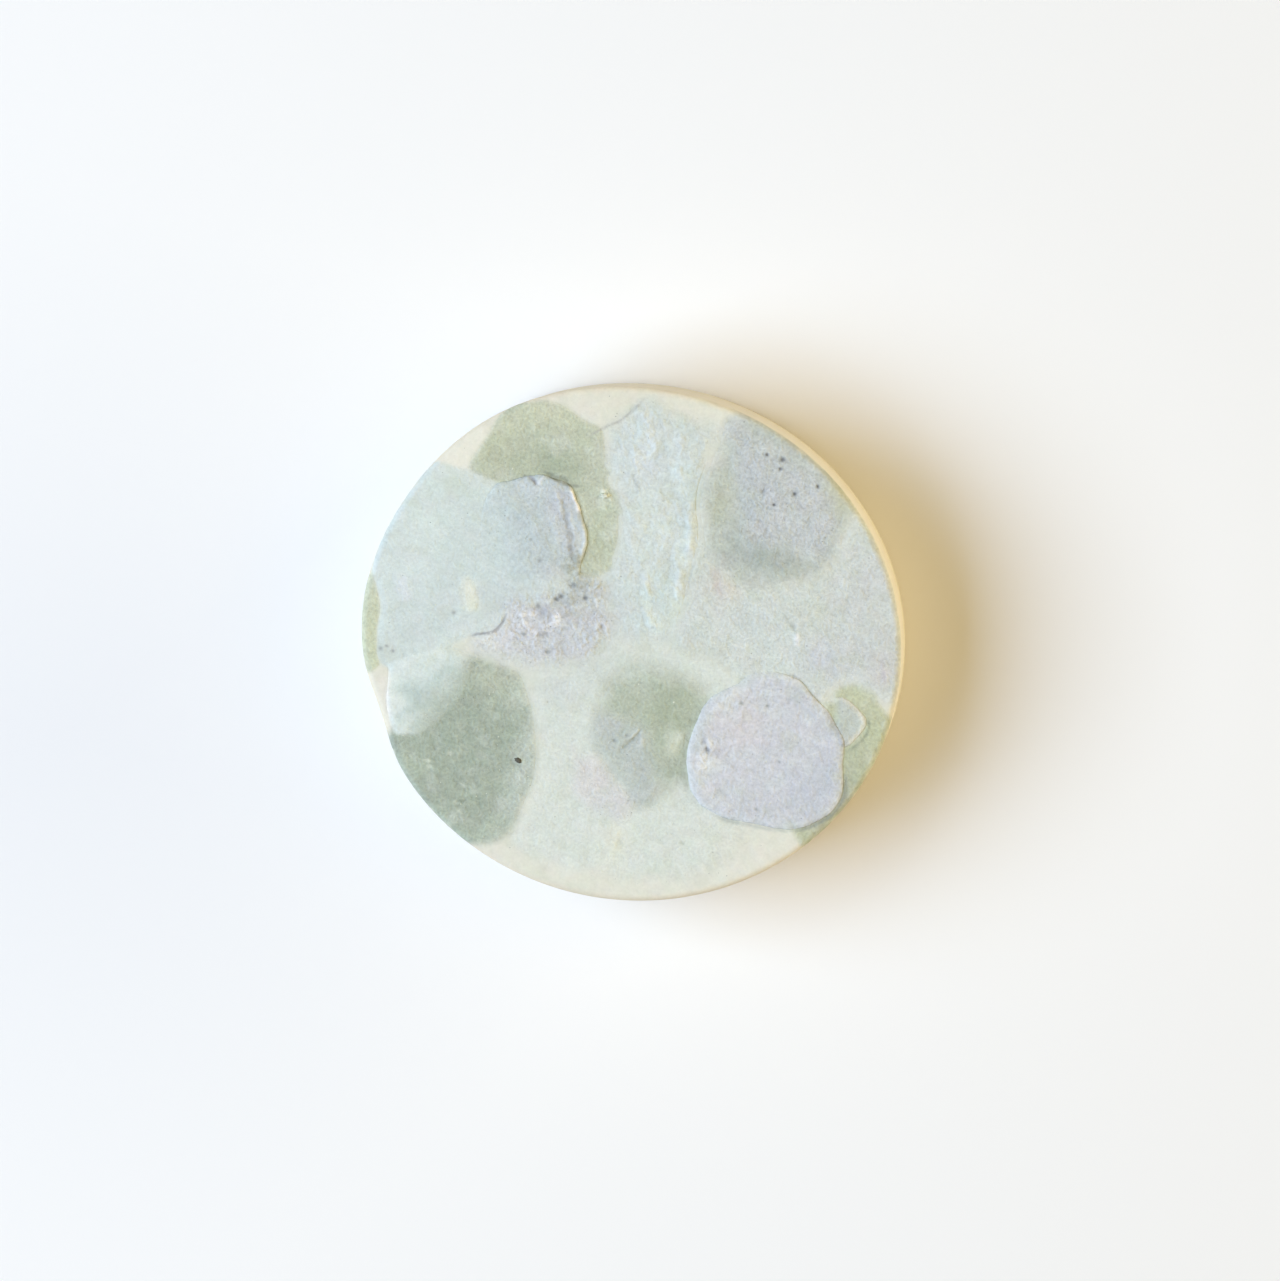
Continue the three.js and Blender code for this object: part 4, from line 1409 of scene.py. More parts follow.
        # Fine spots again on top: pale specks and lumps, and dark pits whose tint is stain with painted
        # shade in the hollow.
        for number, pour in enumerate(POURS[: top + 1]):
            held = ramp(0.0, 0.15, deep[number])
            for mark in pour.spots:
                if mark.fine:
                    share = self.fine_again * mark.strength * held * mark.profile(points, skin, noise)
                    shown = blended(shown, mark.tint.shown(), share)
        light = self.light_swell * noise.octaves(points, 2.6, 3)
        light = light + self.light_swell * noise.octaves(points + 60.0, 0.9, 2)
        blush = self.blush_swell * noise.octaves(points + 210.0, 2.6, 2)
        shown = shown + (light * (0.4 + 0.6 * grain))[:, None]
        return np.column_stack([shown + blush[:, None] * np.array((1.0, -0.6, 0.5)), grain])


@dataclass
class PouredPiece:
    """The visible skin of one pour, closed below by a coarser side inside the body."""

    pour: Pour
    number: int
    surface: Surface
    loop: Array
    rings: tuple[float, ...] = (0.05, 0.13, 0.26, 0.45)
    coarse: float = 1.6
    tuck: float = 0.06
    lip_depth: float = 0.35
    bowl_run: float = 4.0
    fine_step: float = 0.08

    def ring_points(self) -> list[Array]:
        """Rows of places that follow the outline just inside it."""
        depth = self.surface.depths[self.number]
        rows = []
        for distance in self.rings:
            row = self.loop - outwards(self.loop) * distance
            rows.append(row[depth.at(row) > 0.8 * distance - 0.02])
        return rows

    def inner_points(self, spacing: float) -> Array:
        """Places over the inside, closer together round small marks.

        Args:
            spacing: distance between neighbours, in mm.

        Returns:
            The places.
        """
        depth = self.surface.depths[self.number]
        low, high = self.loop.min(axis=0), self.loop.max(axis=0)
        points = hex_grid(low, high, spacing)
        points = points[depth.at(points) > self.rings[-1] + 0.6 * spacing]
        for mark in self.pour.spots:
            if mark.fine and spacing < 0.3:
                centre = self.surface.skin.place(mark.at)
                reach = 1.6 * max(mark.reach)
                points = points[np.linalg.norm(points - centre, axis=1) > reach]
                extra = hex_grid(centre - reach, centre + reach, self.fine_step)
                extra = extra[np.linalg.norm(extra - centre, axis=1) < reach - 0.05]
                points = np.concatenate([points, extra[depth.at(extra) > self.rings[-1] + 0.05]])
        return points

    def underside(self, points: Array, depth: Array) -> Array:
        """How far below the smooth skin the hidden side lies.

        Args:
            points: not used.
            depth: how deep inside the outline each is.

        Returns:
            Lifts in mm, below zero.
        """
        run = np.clip(depth / self.bowl_run, 0.0, 1.0)
        bowl = np.sqrt(np.clip(1.0 - (1.0 - run) ** 2, 0.0, 1.0))
        return -self.lip_depth - (self.pour.sink - self.lip_depth) * bowl

    def build(self) -> bpy.types.Object:
        """Makes the piece.

        Returns:
            The object.
        """
        skin, surface = self.surface.skin, self.surface
        spacing = self.pour.spacing * 1.0
        inner = np.concatenate(self.ring_points() + [self.inner_points(spacing)])
        places, faces = filled(self.loop, inner)
        deep = surface.measures(places)
        lift = surface.relief(places, deep, self.number) - surface.pressed(places, deep, self.number)
        rim = np.arange(len(places)) < len(self.loop)
        below = surface.relief(places[rim], [d[rim] for d in deep], self.number - 1)
        lift[rim] = below - self.tuck
        corners = skin.lifted(places, lift)
        tints = surface.tints(places, deep, self.number)
        depth = surface.depths[self.number]
        hidden = hex_grid(self.loop.min(axis=0), self.loop.max(axis=0), self.coarse)
        hidden = hidden[depth.at(hidden) > 0.5 * self.coarse]
        under_places, under_faces = filled(self.loop, hidden)
        own = under_places[len(self.loop) :]
        under = skin.lifted(own, self.underside(own, depth.at(own)))
        moved = np.where(under_faces < len(self.loop), under_faces, under_faces + len(inner))
        under_tints = np.tile((*self.pour.tint.shown(), self.pour.grain), (len(own), 1))
        return mesh_object(
            self.pour.node + "_skin",
            np.concatenate([corners, under]),
            np.concatenate([faces, moved[:, ::-1]]),
            np.concatenate([tints, under_tints]),
        )


@dataclass
class CreamBody:
    """The full-depth cream body: face, rounded rim, wall and underside in one closed skin."""

    surface: Surface
    around: int = 720
    face_spacing: float = 0.36
    wall_step: float = 0.75
    rim_rows: int = 5
    under_step: float = 2.5

    def strip(self, before: Array, row: Array) -> list[Array]:
        """Triangles between two neighbouring rows of corners.

        Args:
            before: numbers of the first row's corners.
            row: numbers of the next row's corners.

        Returns:
            The two sets of triangles.
        """
        after = np.roll(row, -1)
        return [
            np.stack([before, row, after], axis=1),
            np.stack([before, after, np.roll(before, -1)], axis=1),
        ]

    def rows(self) -> list[float]:
        """Distances past the flat face at which the rows of the skin lie."""
        skin = self.surface.skin
        start, length = skin.wall_start(), skin.wall_length()
        steps = int(round(length / self.wall_step))
        past = [start * i / self.rim_rows for i in range(self.rim_rows)]
        past += [start + length * i / steps for i in range(steps)]
        past += [start + length + start * i / self.rim_rows for i in range(self.rim_rows + 1)]
        return past

    def build(self) -> bpy.types.Object:
        """Makes the piece.

        Returns:
            The object.
        """
        skin, surface = self.surface.skin, self.surface
        turn = np.linspace(-math.pi, math.pi, self.around, endpoint=False)
        heading = np.stack([np.cos(turn), np.sin(turn)], axis=1)
        base = skin.radius(heading) - skin.edge
        ring = heading * base[:, None]
        grid = hex_grid(ring.min(axis=0), ring.max(axis=0), self.face_spacing)
        grid = grid[skin.past_face(grid) < -0.6 * self.face_spacing]
        places, faces = filled(ring, grid)
        groups = [faces]
        parts = [places]
        count = len(places)
        before = np.arange(self.around)
        for past in self.rows()[1:]:
            parts.append(heading * (base + past)[:, None])
            row = count + np.arange(self.around)
            count += self.around
            groups.extend(self.strip(before, row))
            before = row
        places = np.concatenate(parts)
        deep = surface.measures(places)
        past = skin.past_face(places)
        lift = surface.relief(places, deep, -1) - surface.pressed(places, deep, -1)
        foot = 2 * skin.wall_start() + skin.wall_length()
        lift = lift * (1.0 - ramp(foot - 3.0, foot - 0.5, past))
        corners = skin.lifted(places, lift)
        tints = surface.tints(places, deep, -1)
        wall = (*WALL_CREAM.shown(), CREAM_GRAIN)
        rest = int(base.min() // self.under_step)
        for i in range(1, rest):
            share = 1.0 - i / rest
            parts_under = heading * (base * share)[:, None]
            corners = np.concatenate([corners, np.column_stack([parts_under, np.zeros(self.around)])])
            tints = np.concatenate([tints, np.tile(wall, (self.around, 1))])
            row = count + np.arange(self.around)
            count += self.around
            groups.extend(self.strip(before, row))
            before = row
        corners = np.concatenate([corners, [[0.0, 0.0, 0.0]]])
        tints = np.concatenate([tints, [wall]])
        groups.append(np.stack([before, np.full(self.around, count), np.roll(before, -1)], axis=1))
        return mesh_object(BODY + "_skin", corners, np.concatenate(groups), tints)


@dataclass
class Outlines:
    """The outlines of all pours on the unrolled skin, read off their solids."""

    nodes: dict[str, bpy.types.Object]
    skin: Skin
    noise: Noise = field(default_factory=lambda: Noise(23))
    step: float = 0.2
    clearance: float = 0.3
    under: float = 0.4
    taper: float = 3.5

    def wrapped(self, loop: Array, sink: float) -> Array:
        """Carries the stretches of a loop that lie on the rim down over the wall.

        Args:
            loop: the loop in plan.
            sink: how deep the pour goes.

        Returns:
            The loop on the unrolled skin.
        """
        skin = self.skin
        out = np.linalg.norm(loop, axis=1)
        at_rim = out > skin.radius(loop) - 0.15
        if not at_rim.any() or at_rim.all():
            return loop
        far = max(skin.wall_start() + sink - 2 * skin.edge, 0.0)
        start = int(np.argmin(at_rim))
        order = np.roll(np.arange(len(loop)), -start)
        reach = np.zeros(len(loop))
        for direction in (order, order[::-1]):
            run = 0.0
            walked = np.zeros(len(loop))
            for i in direction:
                run = run + self.step if at_rim[i] else 0.0
                walked[i] = run
            reach = walked if direction is order else np.minimum(reach, walked)
        push = far * ramp(0.0, self.taper, reach)
        return loop * ((out + np.where(at_rim, push, 0.0)) / out)[:, None]

    def tucked(self, loop: Array, above: list[Array]) -> Array:
        """Carries a loop a little way under the pours that are let into it.

        Args:
            loop: the loop.
            above: loops of the pours that lie over it.

        Returns:
            The loop with its cut stretches moved under them.
        """
        for other in above:
            distance, place, _ = nearest(loop, other)
            outside = ~inside(loop, other)
            cut = outside & (distance < self.clearance + 0.12) & (distance > 0.5 * self.clearance)
            heading = (place - loop) / np.maximum(distance, 1e-6)[:, None]
            loop = np.where(cut[:, None], place + heading * self.under, loop)
        return loop

    def smoothed(self, loop: Array, rounds: int) -> Array:
        """Evens out small kinks.

        Args:
            loop: the loop.
            rounds: how often each point moves towards its neighbours.

        Returns:
            The smoother loop.
        """
        for _ in range(rounds):
            loop = 0.25 * np.roll(loop, 1, axis=0) + 0.5 * loop + 0.25 * np.roll(loop, -1, axis=0)
        return loop

    def all(self) -> list[Array]:
        """One loop for each pour, lowest first.

        Returns:
            The loops on the unrolled skin.
        """
        plain = [evenly(outline_of(self.nodes[pour.node]), self.step) for pour in POURS]
        loops = []
        for number, pour in enumerate(POURS):
            loop = self.tucked(plain[number], plain[number + 1 :])
            loop = self.wrapped(loop, pour.sink)
            loop = evenly(self.smoothed(loop, 3), self.step)
            if pour.rag:
                loop = loop + outwards(loop) * (pour.rag * self.noise.octaves(loop, 1.9, 3))[:, None]
            loops.append(self.smoothed(loop, 1))
        return loops


# ---------------- finishes


def add_node(
    tree: bpy.types.NodeTree, kind: str, settings: dict | None = None, sockets: dict | None = None
) -> bpy.types.Node:
    """Adds one node to a tree.

    Args:
        tree: the tree.
        kind: the node's type.
        settings: its own settings, made first.
        sockets: values or links of its inputs, by name or number.

    Returns:
        The node.
    """
    made = tree.nodes.new(kind)
    for name, value in (settings or {}).items():
        setattr(made, name, value)
    for name, value in (sockets or {}).items():
        if isinstance(value, bpy.types.NodeSocket):
            tree.links.new(value, made.inputs[name])
        else:
            made.inputs[name].default_value = value
    return made


class Value:
    """A shader socket that sums can be written with."""

    def __init__(self, bench: "Bench", socket: bpy.types.NodeSocket) -> None:
        """Wraps a socket.

        Args:
            bench: the material being made.
            socket: the socket.
        """
        self.bench = bench
        self.socket = socket

    def sum(self, kind: str, first: "Value | float", second: "Value | float") -> "Value":
        """A Math node on two values."""
        node = self.bench.node("ShaderNodeMath", {"operation": kind}, {0: first, 1: second})
        return Value(self.bench, node.outputs[0])

    def __add__(self, other: "Value | float") -> "Value":
        """This plus other."""
        return self.sum("ADD", self, other)

    __radd__ = __add__

    def __sub__(self, other: "Value | float") -> "Value":
        """This minus other."""
        return self.sum("SUBTRACT", self, other)

    def __rsub__(self, other: "Value | float") -> "Value":
        """Other minus this."""
        return self.sum("SUBTRACT", other, self)

    def __mul__(self, other: "Value | float") -> "Value":
        """This times other."""
        return self.sum("MULTIPLY", self, other)

    __rmul__ = __mul__


class Bench:
    """A material being put together from nodes."""

    def __init__(self, name: str) -> None:
        """Starts an empty material.

        Args:
            name: its name.
        """
        self.material = bpy.data.materials.new(name)
        self.material.use_nodes = True
        self.tree = self.material.node_tree
        self.tree.nodes.clear()

    def node(self, kind: str, settings: dict | None = None, sockets: dict | None = None) -> bpy.types.Node:
        """Adds one node.

        Args:
            kind: its type.
            settings: its own settings, made first.
            sockets: values or links of its inputs, by name or number.

        Returns:
            The node.
        """
        plain = {
            name: value.socket if isinstance(value, Value) else value
            for name, value in (sockets or {}).items()
        }
        return add_node(self.tree, kind, settings, plain)

    def value(
        self, kind: str, output: str | int, settings: dict | None = None, sockets: dict | None = None
    ) -> Value:
        """One output of a new node, to write sums with."""
        return Value(self, self.node(kind, settings, sockets).outputs[output])

    def place(self) -> Value:
        """The place on the object, in metres."""
        return self.value("ShaderNodeTexCoord", "Object")

    def speckle(self, size: float, detail: float = 2.0, shift: float = 0.0) -> Value:
        """Noise about zero, from -1 to 1.

        Args:
            size: size of its spots, in mm.
            detail: how much finer noise is in it.
            shift: moves the pattern, so that two are not alike.

        Returns:
            The noise.
        """
        moved = self.value(
            "ShaderNodeVectorMath", 0, {"operation": "ADD"},
            {0: self.place(), 1: (shift * MM, shift * MM, 0.0)},
        )
        raw = self.value(
            "ShaderNodeTexNoise", 0, {"normalize": True},
            {"Vector": moved, "Scale": 1.0 / (size * MM), "Detail": detail, "Roughness": 0.55},
        )
        return (raw - 0.5) * 2.0


@dataclass(frozen=True)
class SoapFinish:
    """How one soap looks close up: its grain, mottle, specks and sheen."""

    slot: str
    grain: float
    mottle: float
    blush: float
    specks: float
    bump: float = 1.0
    roughness: float = 0.68
    sheen: float = 0.28

    def material(self) -> bpy.types.Material:
        """Makes the material.

        Returns:
            The material.
        """
        bench = Bench(self.slot)
        painted = bench.node("ShaderNodeAttribute", {"attribute_name": TINT})
        paint, rough_here = Value(bench, painted.outputs["Color"]), Value(bench, painted.outputs["Alpha"])
        fine = bench.speckle(0.42, 3.0) * rough_here
        middle = bench.speckle(1.25, 3.0, 40.0) * rough_here
        light = 1.0 + fine * self.grain + middle * self.mottle
        lit = bench.value("ShaderNodeVectorMath", 0, {"operation": "SCALE"}, {0: paint, "Scale": light})
        hue = bench.speckle(0.9, 3.0, 90.0) * self.blush
        shift = bench.value(
            "ShaderNodeVectorMath", 0, {"operation": "SCALE"}, {0: (1.0, -0.55, 0.45), "Scale": hue}
        )
        hued = bench.value("ShaderNodeVectorMath", 0, {"operation": "ADD"}, {0: lit, 1: shift})
        dots = bench.speckle(0.5, 1.0, 140.0)
        dotted = bench.value(
            "ShaderNodeMapRange", "Result", {"interpolation_type": "SMOOTHSTEP"},
            {"Value": dots, "From Min": 0.42, "From Max": 0.62, "To Min": 0.0, "To Max": self.specks},
        )
        dust = bench.value("ShaderNodeVectorMath", 0, {"operation": "SCALE"}, {0: hued, "Scale": 0.78})
        ashen = bench.node("ShaderNodeMix", {"data_type": "RGBA"}, {0: dotted, 6: hued, 7: dust})
        colour = Value(bench, ashen.outputs[2])
        height = fine * 0.6 + middle * 0.8 - dotted * 0.8
        bump = bench.value(
            "ShaderNodeBump", 0, {}, {"Strength": self.bump, "Distance": 0.13 * MM, "Height": height}
        )
        rough = self.roughness + middle * 0.08
        skin = bench.value(
            "ShaderNodeBsdfPrincipled", 0, {},
            {
                "Base Color": colour, "Roughness": rough, "Normal": bump,
                "Specular IOR Level": self.sheen, "IOR": 1.45,
            },
        )
        bench.node("ShaderNodeOutputMaterial", {}, {"Surface": skin})
        return bench.material


@dataclass(frozen=True)
class PlainFinish:
    """A finish of one base colour, mottled, for loose bits and the ground."""

    name: str
    tint: Tint
    mottle: float
    size: float
    roughness: float

    def material(self) -> bpy.types.Material:
        """Makes the material.

        Returns:
            The material.
        """
        bench = Bench(self.name)
        light = 1.0 + bench.speckle(self.size, 3.0) * self.mottle
        colour = bench.value(
            "ShaderNodeVectorMath", 0, {"operation": "SCALE"}, {0: self.tint.linear(), "Scale": light}
        )
        skin = bench.value(
            "ShaderNodeBsdfPrincipled", 0, {},
            {"Base Color": colour, "Roughness": self.roughness, "Specular IOR Level": 0.2},
        )
        bench.node("ShaderNodeOutputMaterial", {}, {"Surface": skin})
        return bench.material


FINISHES: tuple[SoapFinish, ...] = (
    SoapFinish("cream_soap", grain=0.2, mottle=0.12, blush=0.006, specks=0.1),
    SoapFinish("sage_soap", grain=0.3, mottle=0.13, blush=0.006, specks=0.25),
    SoapFinish("deep_sage_soap", grain=0.32, mottle=0.16, blush=0.007, specks=0.3),
    SoapFinish("mint_soap", grain=0.25, mottle=0.11, blush=0.006, specks=0.28),
    SoapFinish("lilac_soap", grain=0.27, mottle=0.12, blush=0.006, specks=0.35),
    SoapFinish("grey_lilac_soap", grain=0.27, mottle=0.12, blush=0.006, specks=0.4),
    SoapFinish("pink_soap", grain=0.25, mottle=0.11, blush=0.006, specks=0.28),
)
HERB = PlainFinish("dried_herb", Tint(100, 98, 88), 0.3, 0.2, 0.85)
CRUMB = PlainFinish("loose_crumb", Tint(224, 228, 212), 0.12, 0.3, 0.8)
ASH = PlainFinish("herb_dust", Tint(128, 130, 128), 0.2, 0.3, 0.9)
GROUND = PlainFinish("pale_ground", Tint(248, 248, 248), 0.002, 60.0, 0.9)


# ---------------- loose bits


@dataclass
class LooseBit:
    """A little lump lying on the face, made to the size of its solid."""

    node: str
    finish: PlainFinish
    slot: str
    surface: Surface
    lumps: float
    seed: int
    turn: float = 0.0
    fill: tuple[float, float, float] = (0.85, 0.66, 1.3)
    stand: float = 0.18

    def build(self) -> bpy.types.Object:
        """Makes the piece.

        Returns:
            The object.
        """
        low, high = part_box(self.node)
        low, high = np.array(low) / MM, np.array(high) / MM
        middle, size = (low + high) / 2, high - low
        shape = bmesh.new()
        bmesh.ops.create_icosphere(shape, subdivisions=4, radius=0.5)
        corners = np.array([tuple(v.co) for v in shape.verts])
        faces = [[v.index for v in f.verts] for f in shape.faces]
        shape.free()
        noise = Noise(self.seed)
        swell = noise.octaves(corners[:, :2] * 1.7 + corners[:, 2:] * 0.9, 0.45, 3)
        corners = corners * (1.0 + self.lumps * swell)[:, None]
        turn = math.radians(self.turn)
        cos, sin = math.cos(turn), math.sin(turn)
        spin = np.array(((cos, sin, 0), (-sin, cos, 0), (0, 0, 1)))
        corners = (corners * (size * self.fill)) @ spin
        spot = middle[:2][None, :]
        deep = self.surface.measures(spot)
        top = self.surface.relief(spot, deep, len(POURS) - 1)[0]
        floor = self.surface.skin.thickness + top
        corners[:, :2] += middle[:2]
        corners[:, 2] += floor + self.stand * size[2]
        obj = mesh_object(self.node + "_skin", corners, faces)
        obj.data.materials.append(self.finish.material())
        return obj


@dataclass
class Scatter:
    """Fine bits strewn over the face by a node tree, thicker where the soap is crumbly."""

    name: str
    finish: PlainFinish
    slot: str
    surface: Surface
    per_square_mm: float
    smallest: float
    largest: float
    seed: int
    thick: tuple[tuple[str, float], ...]
    host_step: float = 0.5

    def host(self) -> bpy.types.Object:
        """The top of the face as a plain mesh, with how thickly bits lie on it.

        Returns:
            The object.
        """
        surface, skin = self.surface, self.surface.skin
        reach = skin.half_long
        points = hex_grid(np.array((-reach, -reach)), np.array((reach, reach)), self.host_step)
        points = points[skin.past_face(points) < -0.4]
        turn = np.linspace(-math.pi, math.pi, 300, endpoint=False)
        heading = np.stack([np.cos(turn), np.sin(turn)], axis=1)
        ring = heading * (skin.radius(heading) - skin.edge)[:, None]
        places, faces = filled(ring, points)
        deep = surface.measures(places)
        corners = skin.lifted(places, surface.relief(places, deep, len(POURS) - 1))
        share = np.full(len(places), 0.1)
        names = [pour.node for pour in POURS]
        for node, amount in self.thick:
            number = names.index(node)
            cover = ramp(0.0, 1.0, deep[number]) * POURS[number].left(places, skin)
            share = share + (amount - share) * cover
        share *= 0.35 + 0.65 * ramp(-0.4, 0.6, surface.noise.octaves(places, 5.0, 3))
        obj = mesh_object(self.name, corners, faces)
        layer = obj.data.attributes.new("thickly", "FLOAT", "POINT")
        layer.data.foreach_set("value", share)
        return obj

    def tree(self, material: bpy.types.Material) -> bpy.types.NodeTree:
        """The node tree that strews the bits.

        Args:
            material: their material.

        Returns:
            The tree.
        """
        tree = bpy.data.node_groups.new(self.name, "GeometryNodeTree")
        tree.interface.new_socket("Geometry", in_out="INPUT", socket_type="NodeSocketGeometry")
        for name in ("Per Square Metre", "Smallest", "Largest"):
            tree.interface.new_socket(name, in_out="INPUT", socket_type="NodeSocketFloat")
        tree.interface.new_socket("Geometry", in_out="OUTPUT", socket_type="NodeSocketGeometry")
        seed = self.seed
        given = add_node(tree, "NodeGroupInput")
        amount = add_node(
            tree, "GeometryNodeInputNamedAttribute", {"data_type": "FLOAT"}, {"Name": "thickly"}
        )
        density = add_node(
            tree, "ShaderNodeMath", {"operation": "MULTIPLY"},
            {0: given.outputs["Per Square Metre"], 1: amount.outputs["Attribute"]},
        )
        spread = add_node(
            tree, "GeometryNodeDistributePointsOnFaces", {},
            {"Seed": seed, "Mesh": given.outputs["Geometry"], "Density": density.outputs[0]},
        )
        bit = add_node(tree, "GeometryNodeMeshIcoSphere", {}, {"Radius": 1.0, "Subdivisions": 1})
        size = add_node(
            tree, "FunctionNodeRandomValue", {"data_type": "FLOAT"},
            {"Seed": seed + 1, 2: given.outputs["Smallest"], 3: given.outputs["Largest"]},
        )
        shape = add_node(
            tree, "FunctionNodeRandomValue", {"data_type": "FLOAT_VECTOR"},
            {0: (0.6, 0.6, 0.35), 1: (1.5, 1.0, 0.7), "Seed": seed + 2},
        )
        scale = add_node(
            tree, "ShaderNodeVectorMath", {"operation": "SCALE"},
            {0: shape.outputs[0], "Scale": size.outputs[1]},
        )
        spin = add_node(
            tree, "FunctionNodeRandomValue", {"data_type": "FLOAT_VECTOR"},
            {0: (-0.3, -0.3, 0.0), 1: (0.3, 0.3, 2 * math.pi), "Seed": seed + 3},
        )
        strew = add_node(
            tree, "GeometryNodeInstanceOnPoints", {},
            {
                "Points": spread.outputs["Points"], "Instance": bit.outputs["Mesh"],
                "Rotation": spin.outputs[0], "Scale": scale.outputs[0],
            },
        )
        real = add_node(tree, "GeometryNodeRealizeInstances", {}, {"Geometry": strew.outputs["Instances"]})
        dressed = add_node(
            tree, "GeometryNodeSetMaterial", {}, {"Material": material, "Geometry": real.outputs["Geometry"]}
        )
        add_node(tree, "NodeGroupOutput", {}, {"Geometry": dressed.outputs["Geometry"]})
        return tree

    def build(self) -> bpy.types.Object:
        """Makes the piece.

        Returns:
            The object.
        """
        obj = self.host()
        modifier = obj.modifiers.new(self.name, "NODES")
        modifier.node_group = self.tree(self.finish.material())
        sizes = {
            "Per Square Metre": self.per_square_mm / MM**2,
            "Smallest": self.smallest * MM,
            "Largest": self.largest * MM,
        }
        for socket in modifier.node_group.interface.items_tree:
            if socket.in_out == "INPUT" and socket.name in sizes:
                modifier[socket.identifier] = sizes[socket.name]
        graph = bpy.context.evaluated_depsgraph_get()
        strewn = bpy.data.meshes.new_from_object(obj.evaluated_get(graph))
        obj.modifiers.clear()
        obj.data = strewn
        strewn.name = self.name
        return obj


# ---------------- floor, lights and camera


@dataclass(frozen=True)
class Lamp:
    """A soft square light, aimed at the puck."""

    name: str
    bearing: float
    height: float
    distance: float
    size: tuple[float, float]
    light: tuple[float, float, float]

    def build(self, target: Vector) -> bpy.types.Object:
        """Hangs the light.

        Args:
            target: what it shines at.

        Returns:
            The light.
        """
        data = bpy.data.lights.new(self.name, "AREA")
        data.shape = "RECTANGLE"
        data.size, data.size_y = self.size
        strongest = max(self.light)
        data.energy = strongest
        data.color = [value / strongest for value in self.light] if strongest else (1.0, 1.0, 1.0)
        lamp = bpy.data.objects.new(self.name, data)
        bpy.context.scene.collection.objects.link(lamp)
        turn, tilt = math.radians(self.bearing), math.radians(self.height)
        away = Vector((math.cos(turn) * math.cos(tilt), math.sin(turn) * math.cos(tilt), math.sin(tilt)))
        lamp.location = target + away * self.distance
        lamp.rotation_euler = away.to_track_quat("Z", "Y").to_euler()
        return lamp


VIEW_TURN = 14.35
LEFT = 180.0 + VIEW_TURN
KEY = Lamp("window_light", LEFT + 2.0, 49.0, 1.6, (1.25, 1.25), (22.9, 27.1, 33.1))
OVERHEAD = Lamp("room_light", LEFT + 180.0, 66.0, 1.6, (1.6, 1.6), (6.6, 4.6, 2.1))
LOW = Lamp("low_light", LEFT + 180.0 + 10.0, 12.0, 1.2, (1.2, 0.3), (7.8, 6.9, 4.4))


@dataclass
class Studio:
    """Floor, lights and camera."""

    skin: Skin
    view_from: float = 56.35
    view_tilt: float = 4.5
    view_distance: float = 1.13
    lens: float = 227.0
    view_turn: float = VIEW_TURN
    aim: tuple[float, float] = (1.36, 0.56)
    room: tuple[float, float, float] = (0.12, 0.10, 0.06)
    floor_half: float = 3000.0

    def floor(self) -> None:
        """Lays the floor."""
        size = self.floor_half
        corners = np.array([(-size, -size, 0.0), (size, -size, 0.0), (size, size, 0.0), (-size, size, 0.0)])
        floor = mesh_object("floor", corners, [[0, 1, 2, 3]])
        floor.data.materials.append(GROUND.material())

    def world(self) -> None:
        """Sets the even light of the room."""
        world = bpy.data.worlds.new("room")
        world.use_nodes = True
        world.node_tree.nodes["Background"].inputs["Color"].default_value = (*self.room, 1.0)
        bpy.context.scene.world = world

    def camera(self) -> None:
        """Places the camera."""
        turn = math.radians(self.view_turn)
        right = Vector((math.cos(turn), math.sin(turn), 0.0))
        ahead = Vector((-math.sin(turn), math.cos(turn), 0.0))
        target = Vector((0.0, 0.0, self.skin.thickness * MM))
        target += (right * self.aim[0] + ahead * self.aim[1]) * MM
        from_turn, tilt = math.radians(self.view_from), math.radians(self.view_tilt)
        back = Vector(
            (math.sin(tilt) * math.cos(from_turn), math.sin(tilt) * math.sin(from_turn), math.cos(tilt))
        )
        across = ahead.cross(back).normalized()
        upward = back.cross(across)
        data = bpy.data.cameras.new("camera")
        data.lens = self.lens
        data.clip_start, data.clip_end = 0.05, 20.0
        camera = bpy.data.objects.new("camera", data)
        bpy.context.scene.collection.objects.link(camera)
        turned = Matrix((across, upward, back)).transposed().to_4x4()
        camera.matrix_world = Matrix.Translation(target + back * self.view_distance) @ turned
        bpy.context.scene.camera = camera

    def build(self) -> None:
        """Sets everything up."""
        self.floor()
        self.world()
        target = Vector((0.0, 0.0, self.skin.thickness * MM))
        for lamp in (KEY, OVERHEAD, LOW):
            lamp.build(target)
        self.camera()
        bpy.context.scene.view_settings.view_transform = "Standard"
        log.info("studio: floor, room light, three lamps and a camera")


# ---------------- the whole puck


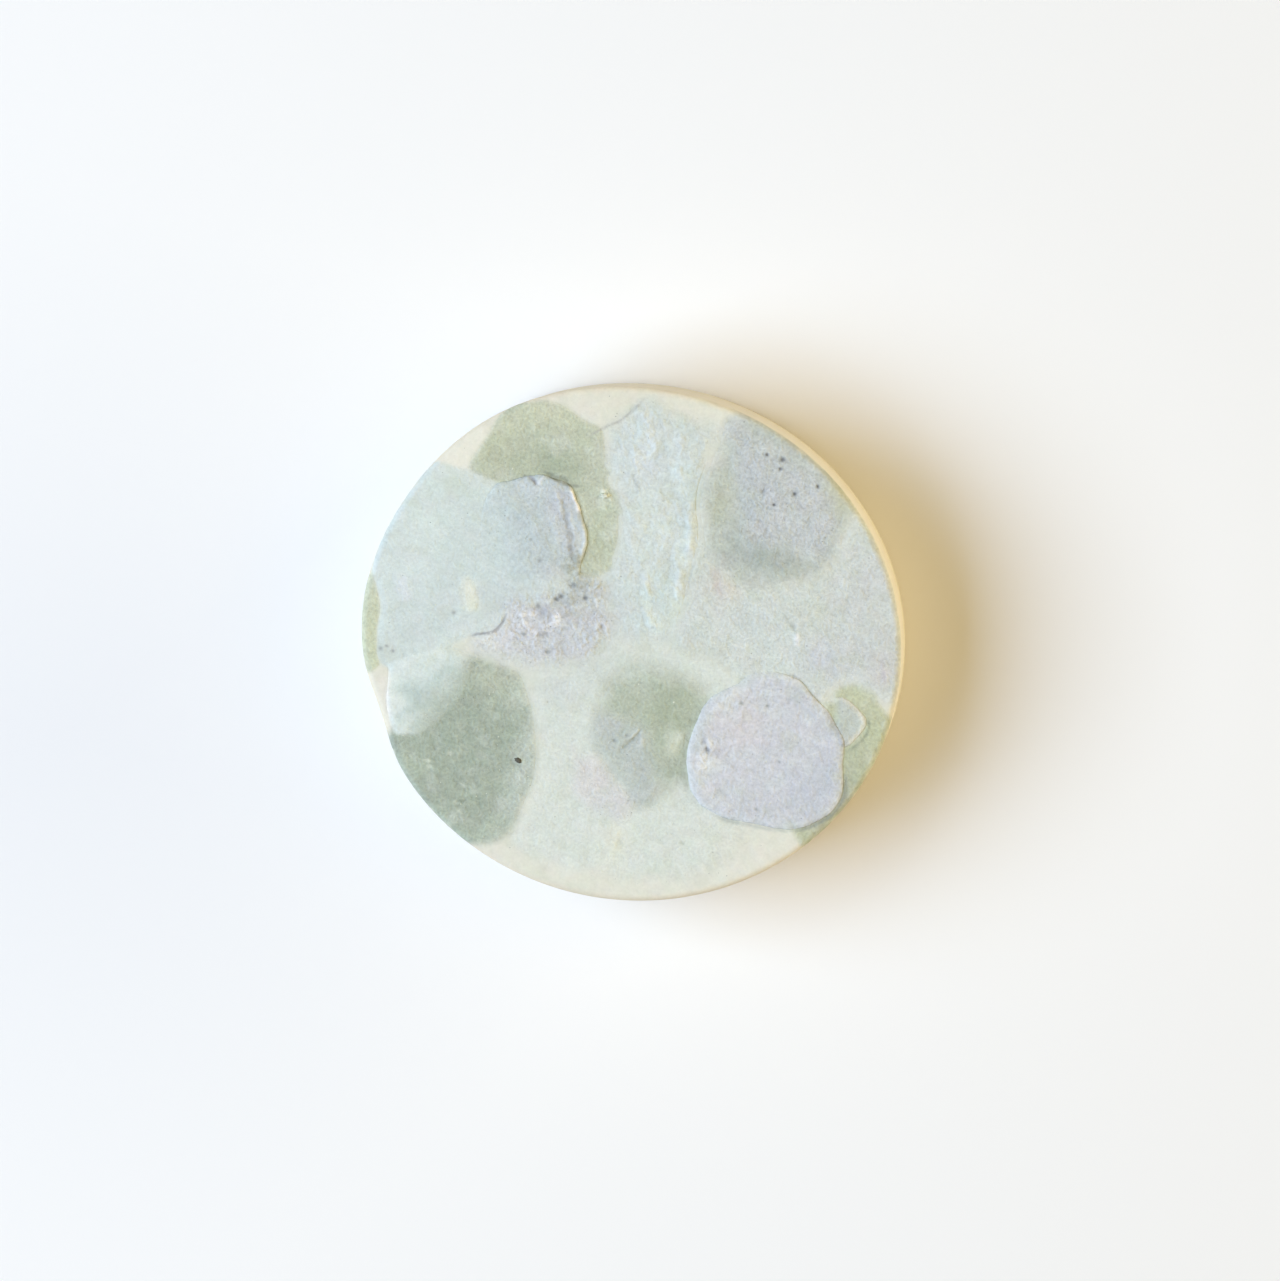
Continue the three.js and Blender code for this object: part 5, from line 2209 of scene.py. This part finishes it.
@dataclass
class SoapPuck:
    """The whole puck."""

    nodes: dict[str, bpy.types.Object]
    skin: Skin = field(init=False)
    surface: Surface = field(init=False)
    loops: list[Array] = field(init=False)

    def __post_init__(self) -> None:
        """Reads the sizes and outlines off the solids."""
        self.skin = Skin.of_node(self.nodes[BODY])
        self.loops = Outlines(self.nodes, self.skin).all()
        self.surface = Surface(self.skin, [Depth(loop) for loop in self.loops])

    def build(self) -> None:
        """Makes and dresses every piece."""
        materials = {finish.slot: finish.material() for finish in FINISHES}
        body = CreamBody(self.surface).build()
        body.data.materials.append(materials["cream_soap"])
        self.declare(body, "cream_soap", BODY)
        for number, pour in enumerate(POURS):
            piece = PouredPiece(pour, number, self.surface, self.loops[number]).build()
            piece.data.materials.append(materials[pour.slot])
            self.declare(piece, pour.slot, pour.node)
        for bit in (
            LooseBit("herb_speck", HERB, "dried_herb", self.surface, 0.35, 5, -20.0),
            LooseBit("soap_crumb", CRUMB, "sage_soap", self.surface, 0.5, 9, 15.0),
        ):
            self.declare(bit.build(), bit.slot, bit.node)
        for strewn in (
            Scatter(
                "ash_grains", ASH, "dried_herb", self.surface, 0.5, 0.03, 0.08, 3,
                (("mint_sheet_west", 0.1), ("mint_sheet_north", 0.12), ("lilac_smear_centre", 0.8),
                 ("lilac_skin_northeast", 0.4), ("lilac_pat_southeast", 0.3), ("lilac_flap_west", 0.35)),
            ),
            Scatter(
                "soap_dust", CRUMB, "cream_soap", self.surface, 0.6, 0.05, 0.13, 31,
                (("lilac_smear_centre", 1.0), ("mint_sheet_north", 0.15), ("sage_drop_southwest", 0.12)),
            ),
        ):
            self.declare(strewn.build(), strewn.slot)

    def declare(self, piece: bpy.types.Object, slot: str, *nodes: str) -> None:
        """Hangs a piece under the root, hides the solids it stands for and logs it.

        Args:
            piece: the piece.
            slot: not used.
            nodes: the solids it stands for.
        """
        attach(piece, "root")
        if nodes:
            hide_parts(*nodes)
        report(piece)


def main() -> None:
    """Builds the puck in its frame."""
    logging.basicConfig(level=logging.INFO, format="%(message)s", stream=sys.stdout)
    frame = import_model()
    puck = SoapPuck(frame["nodes"])
    puck.build()
    Studio(puck.skin).build()


if __name__ == "__main__":
    main()
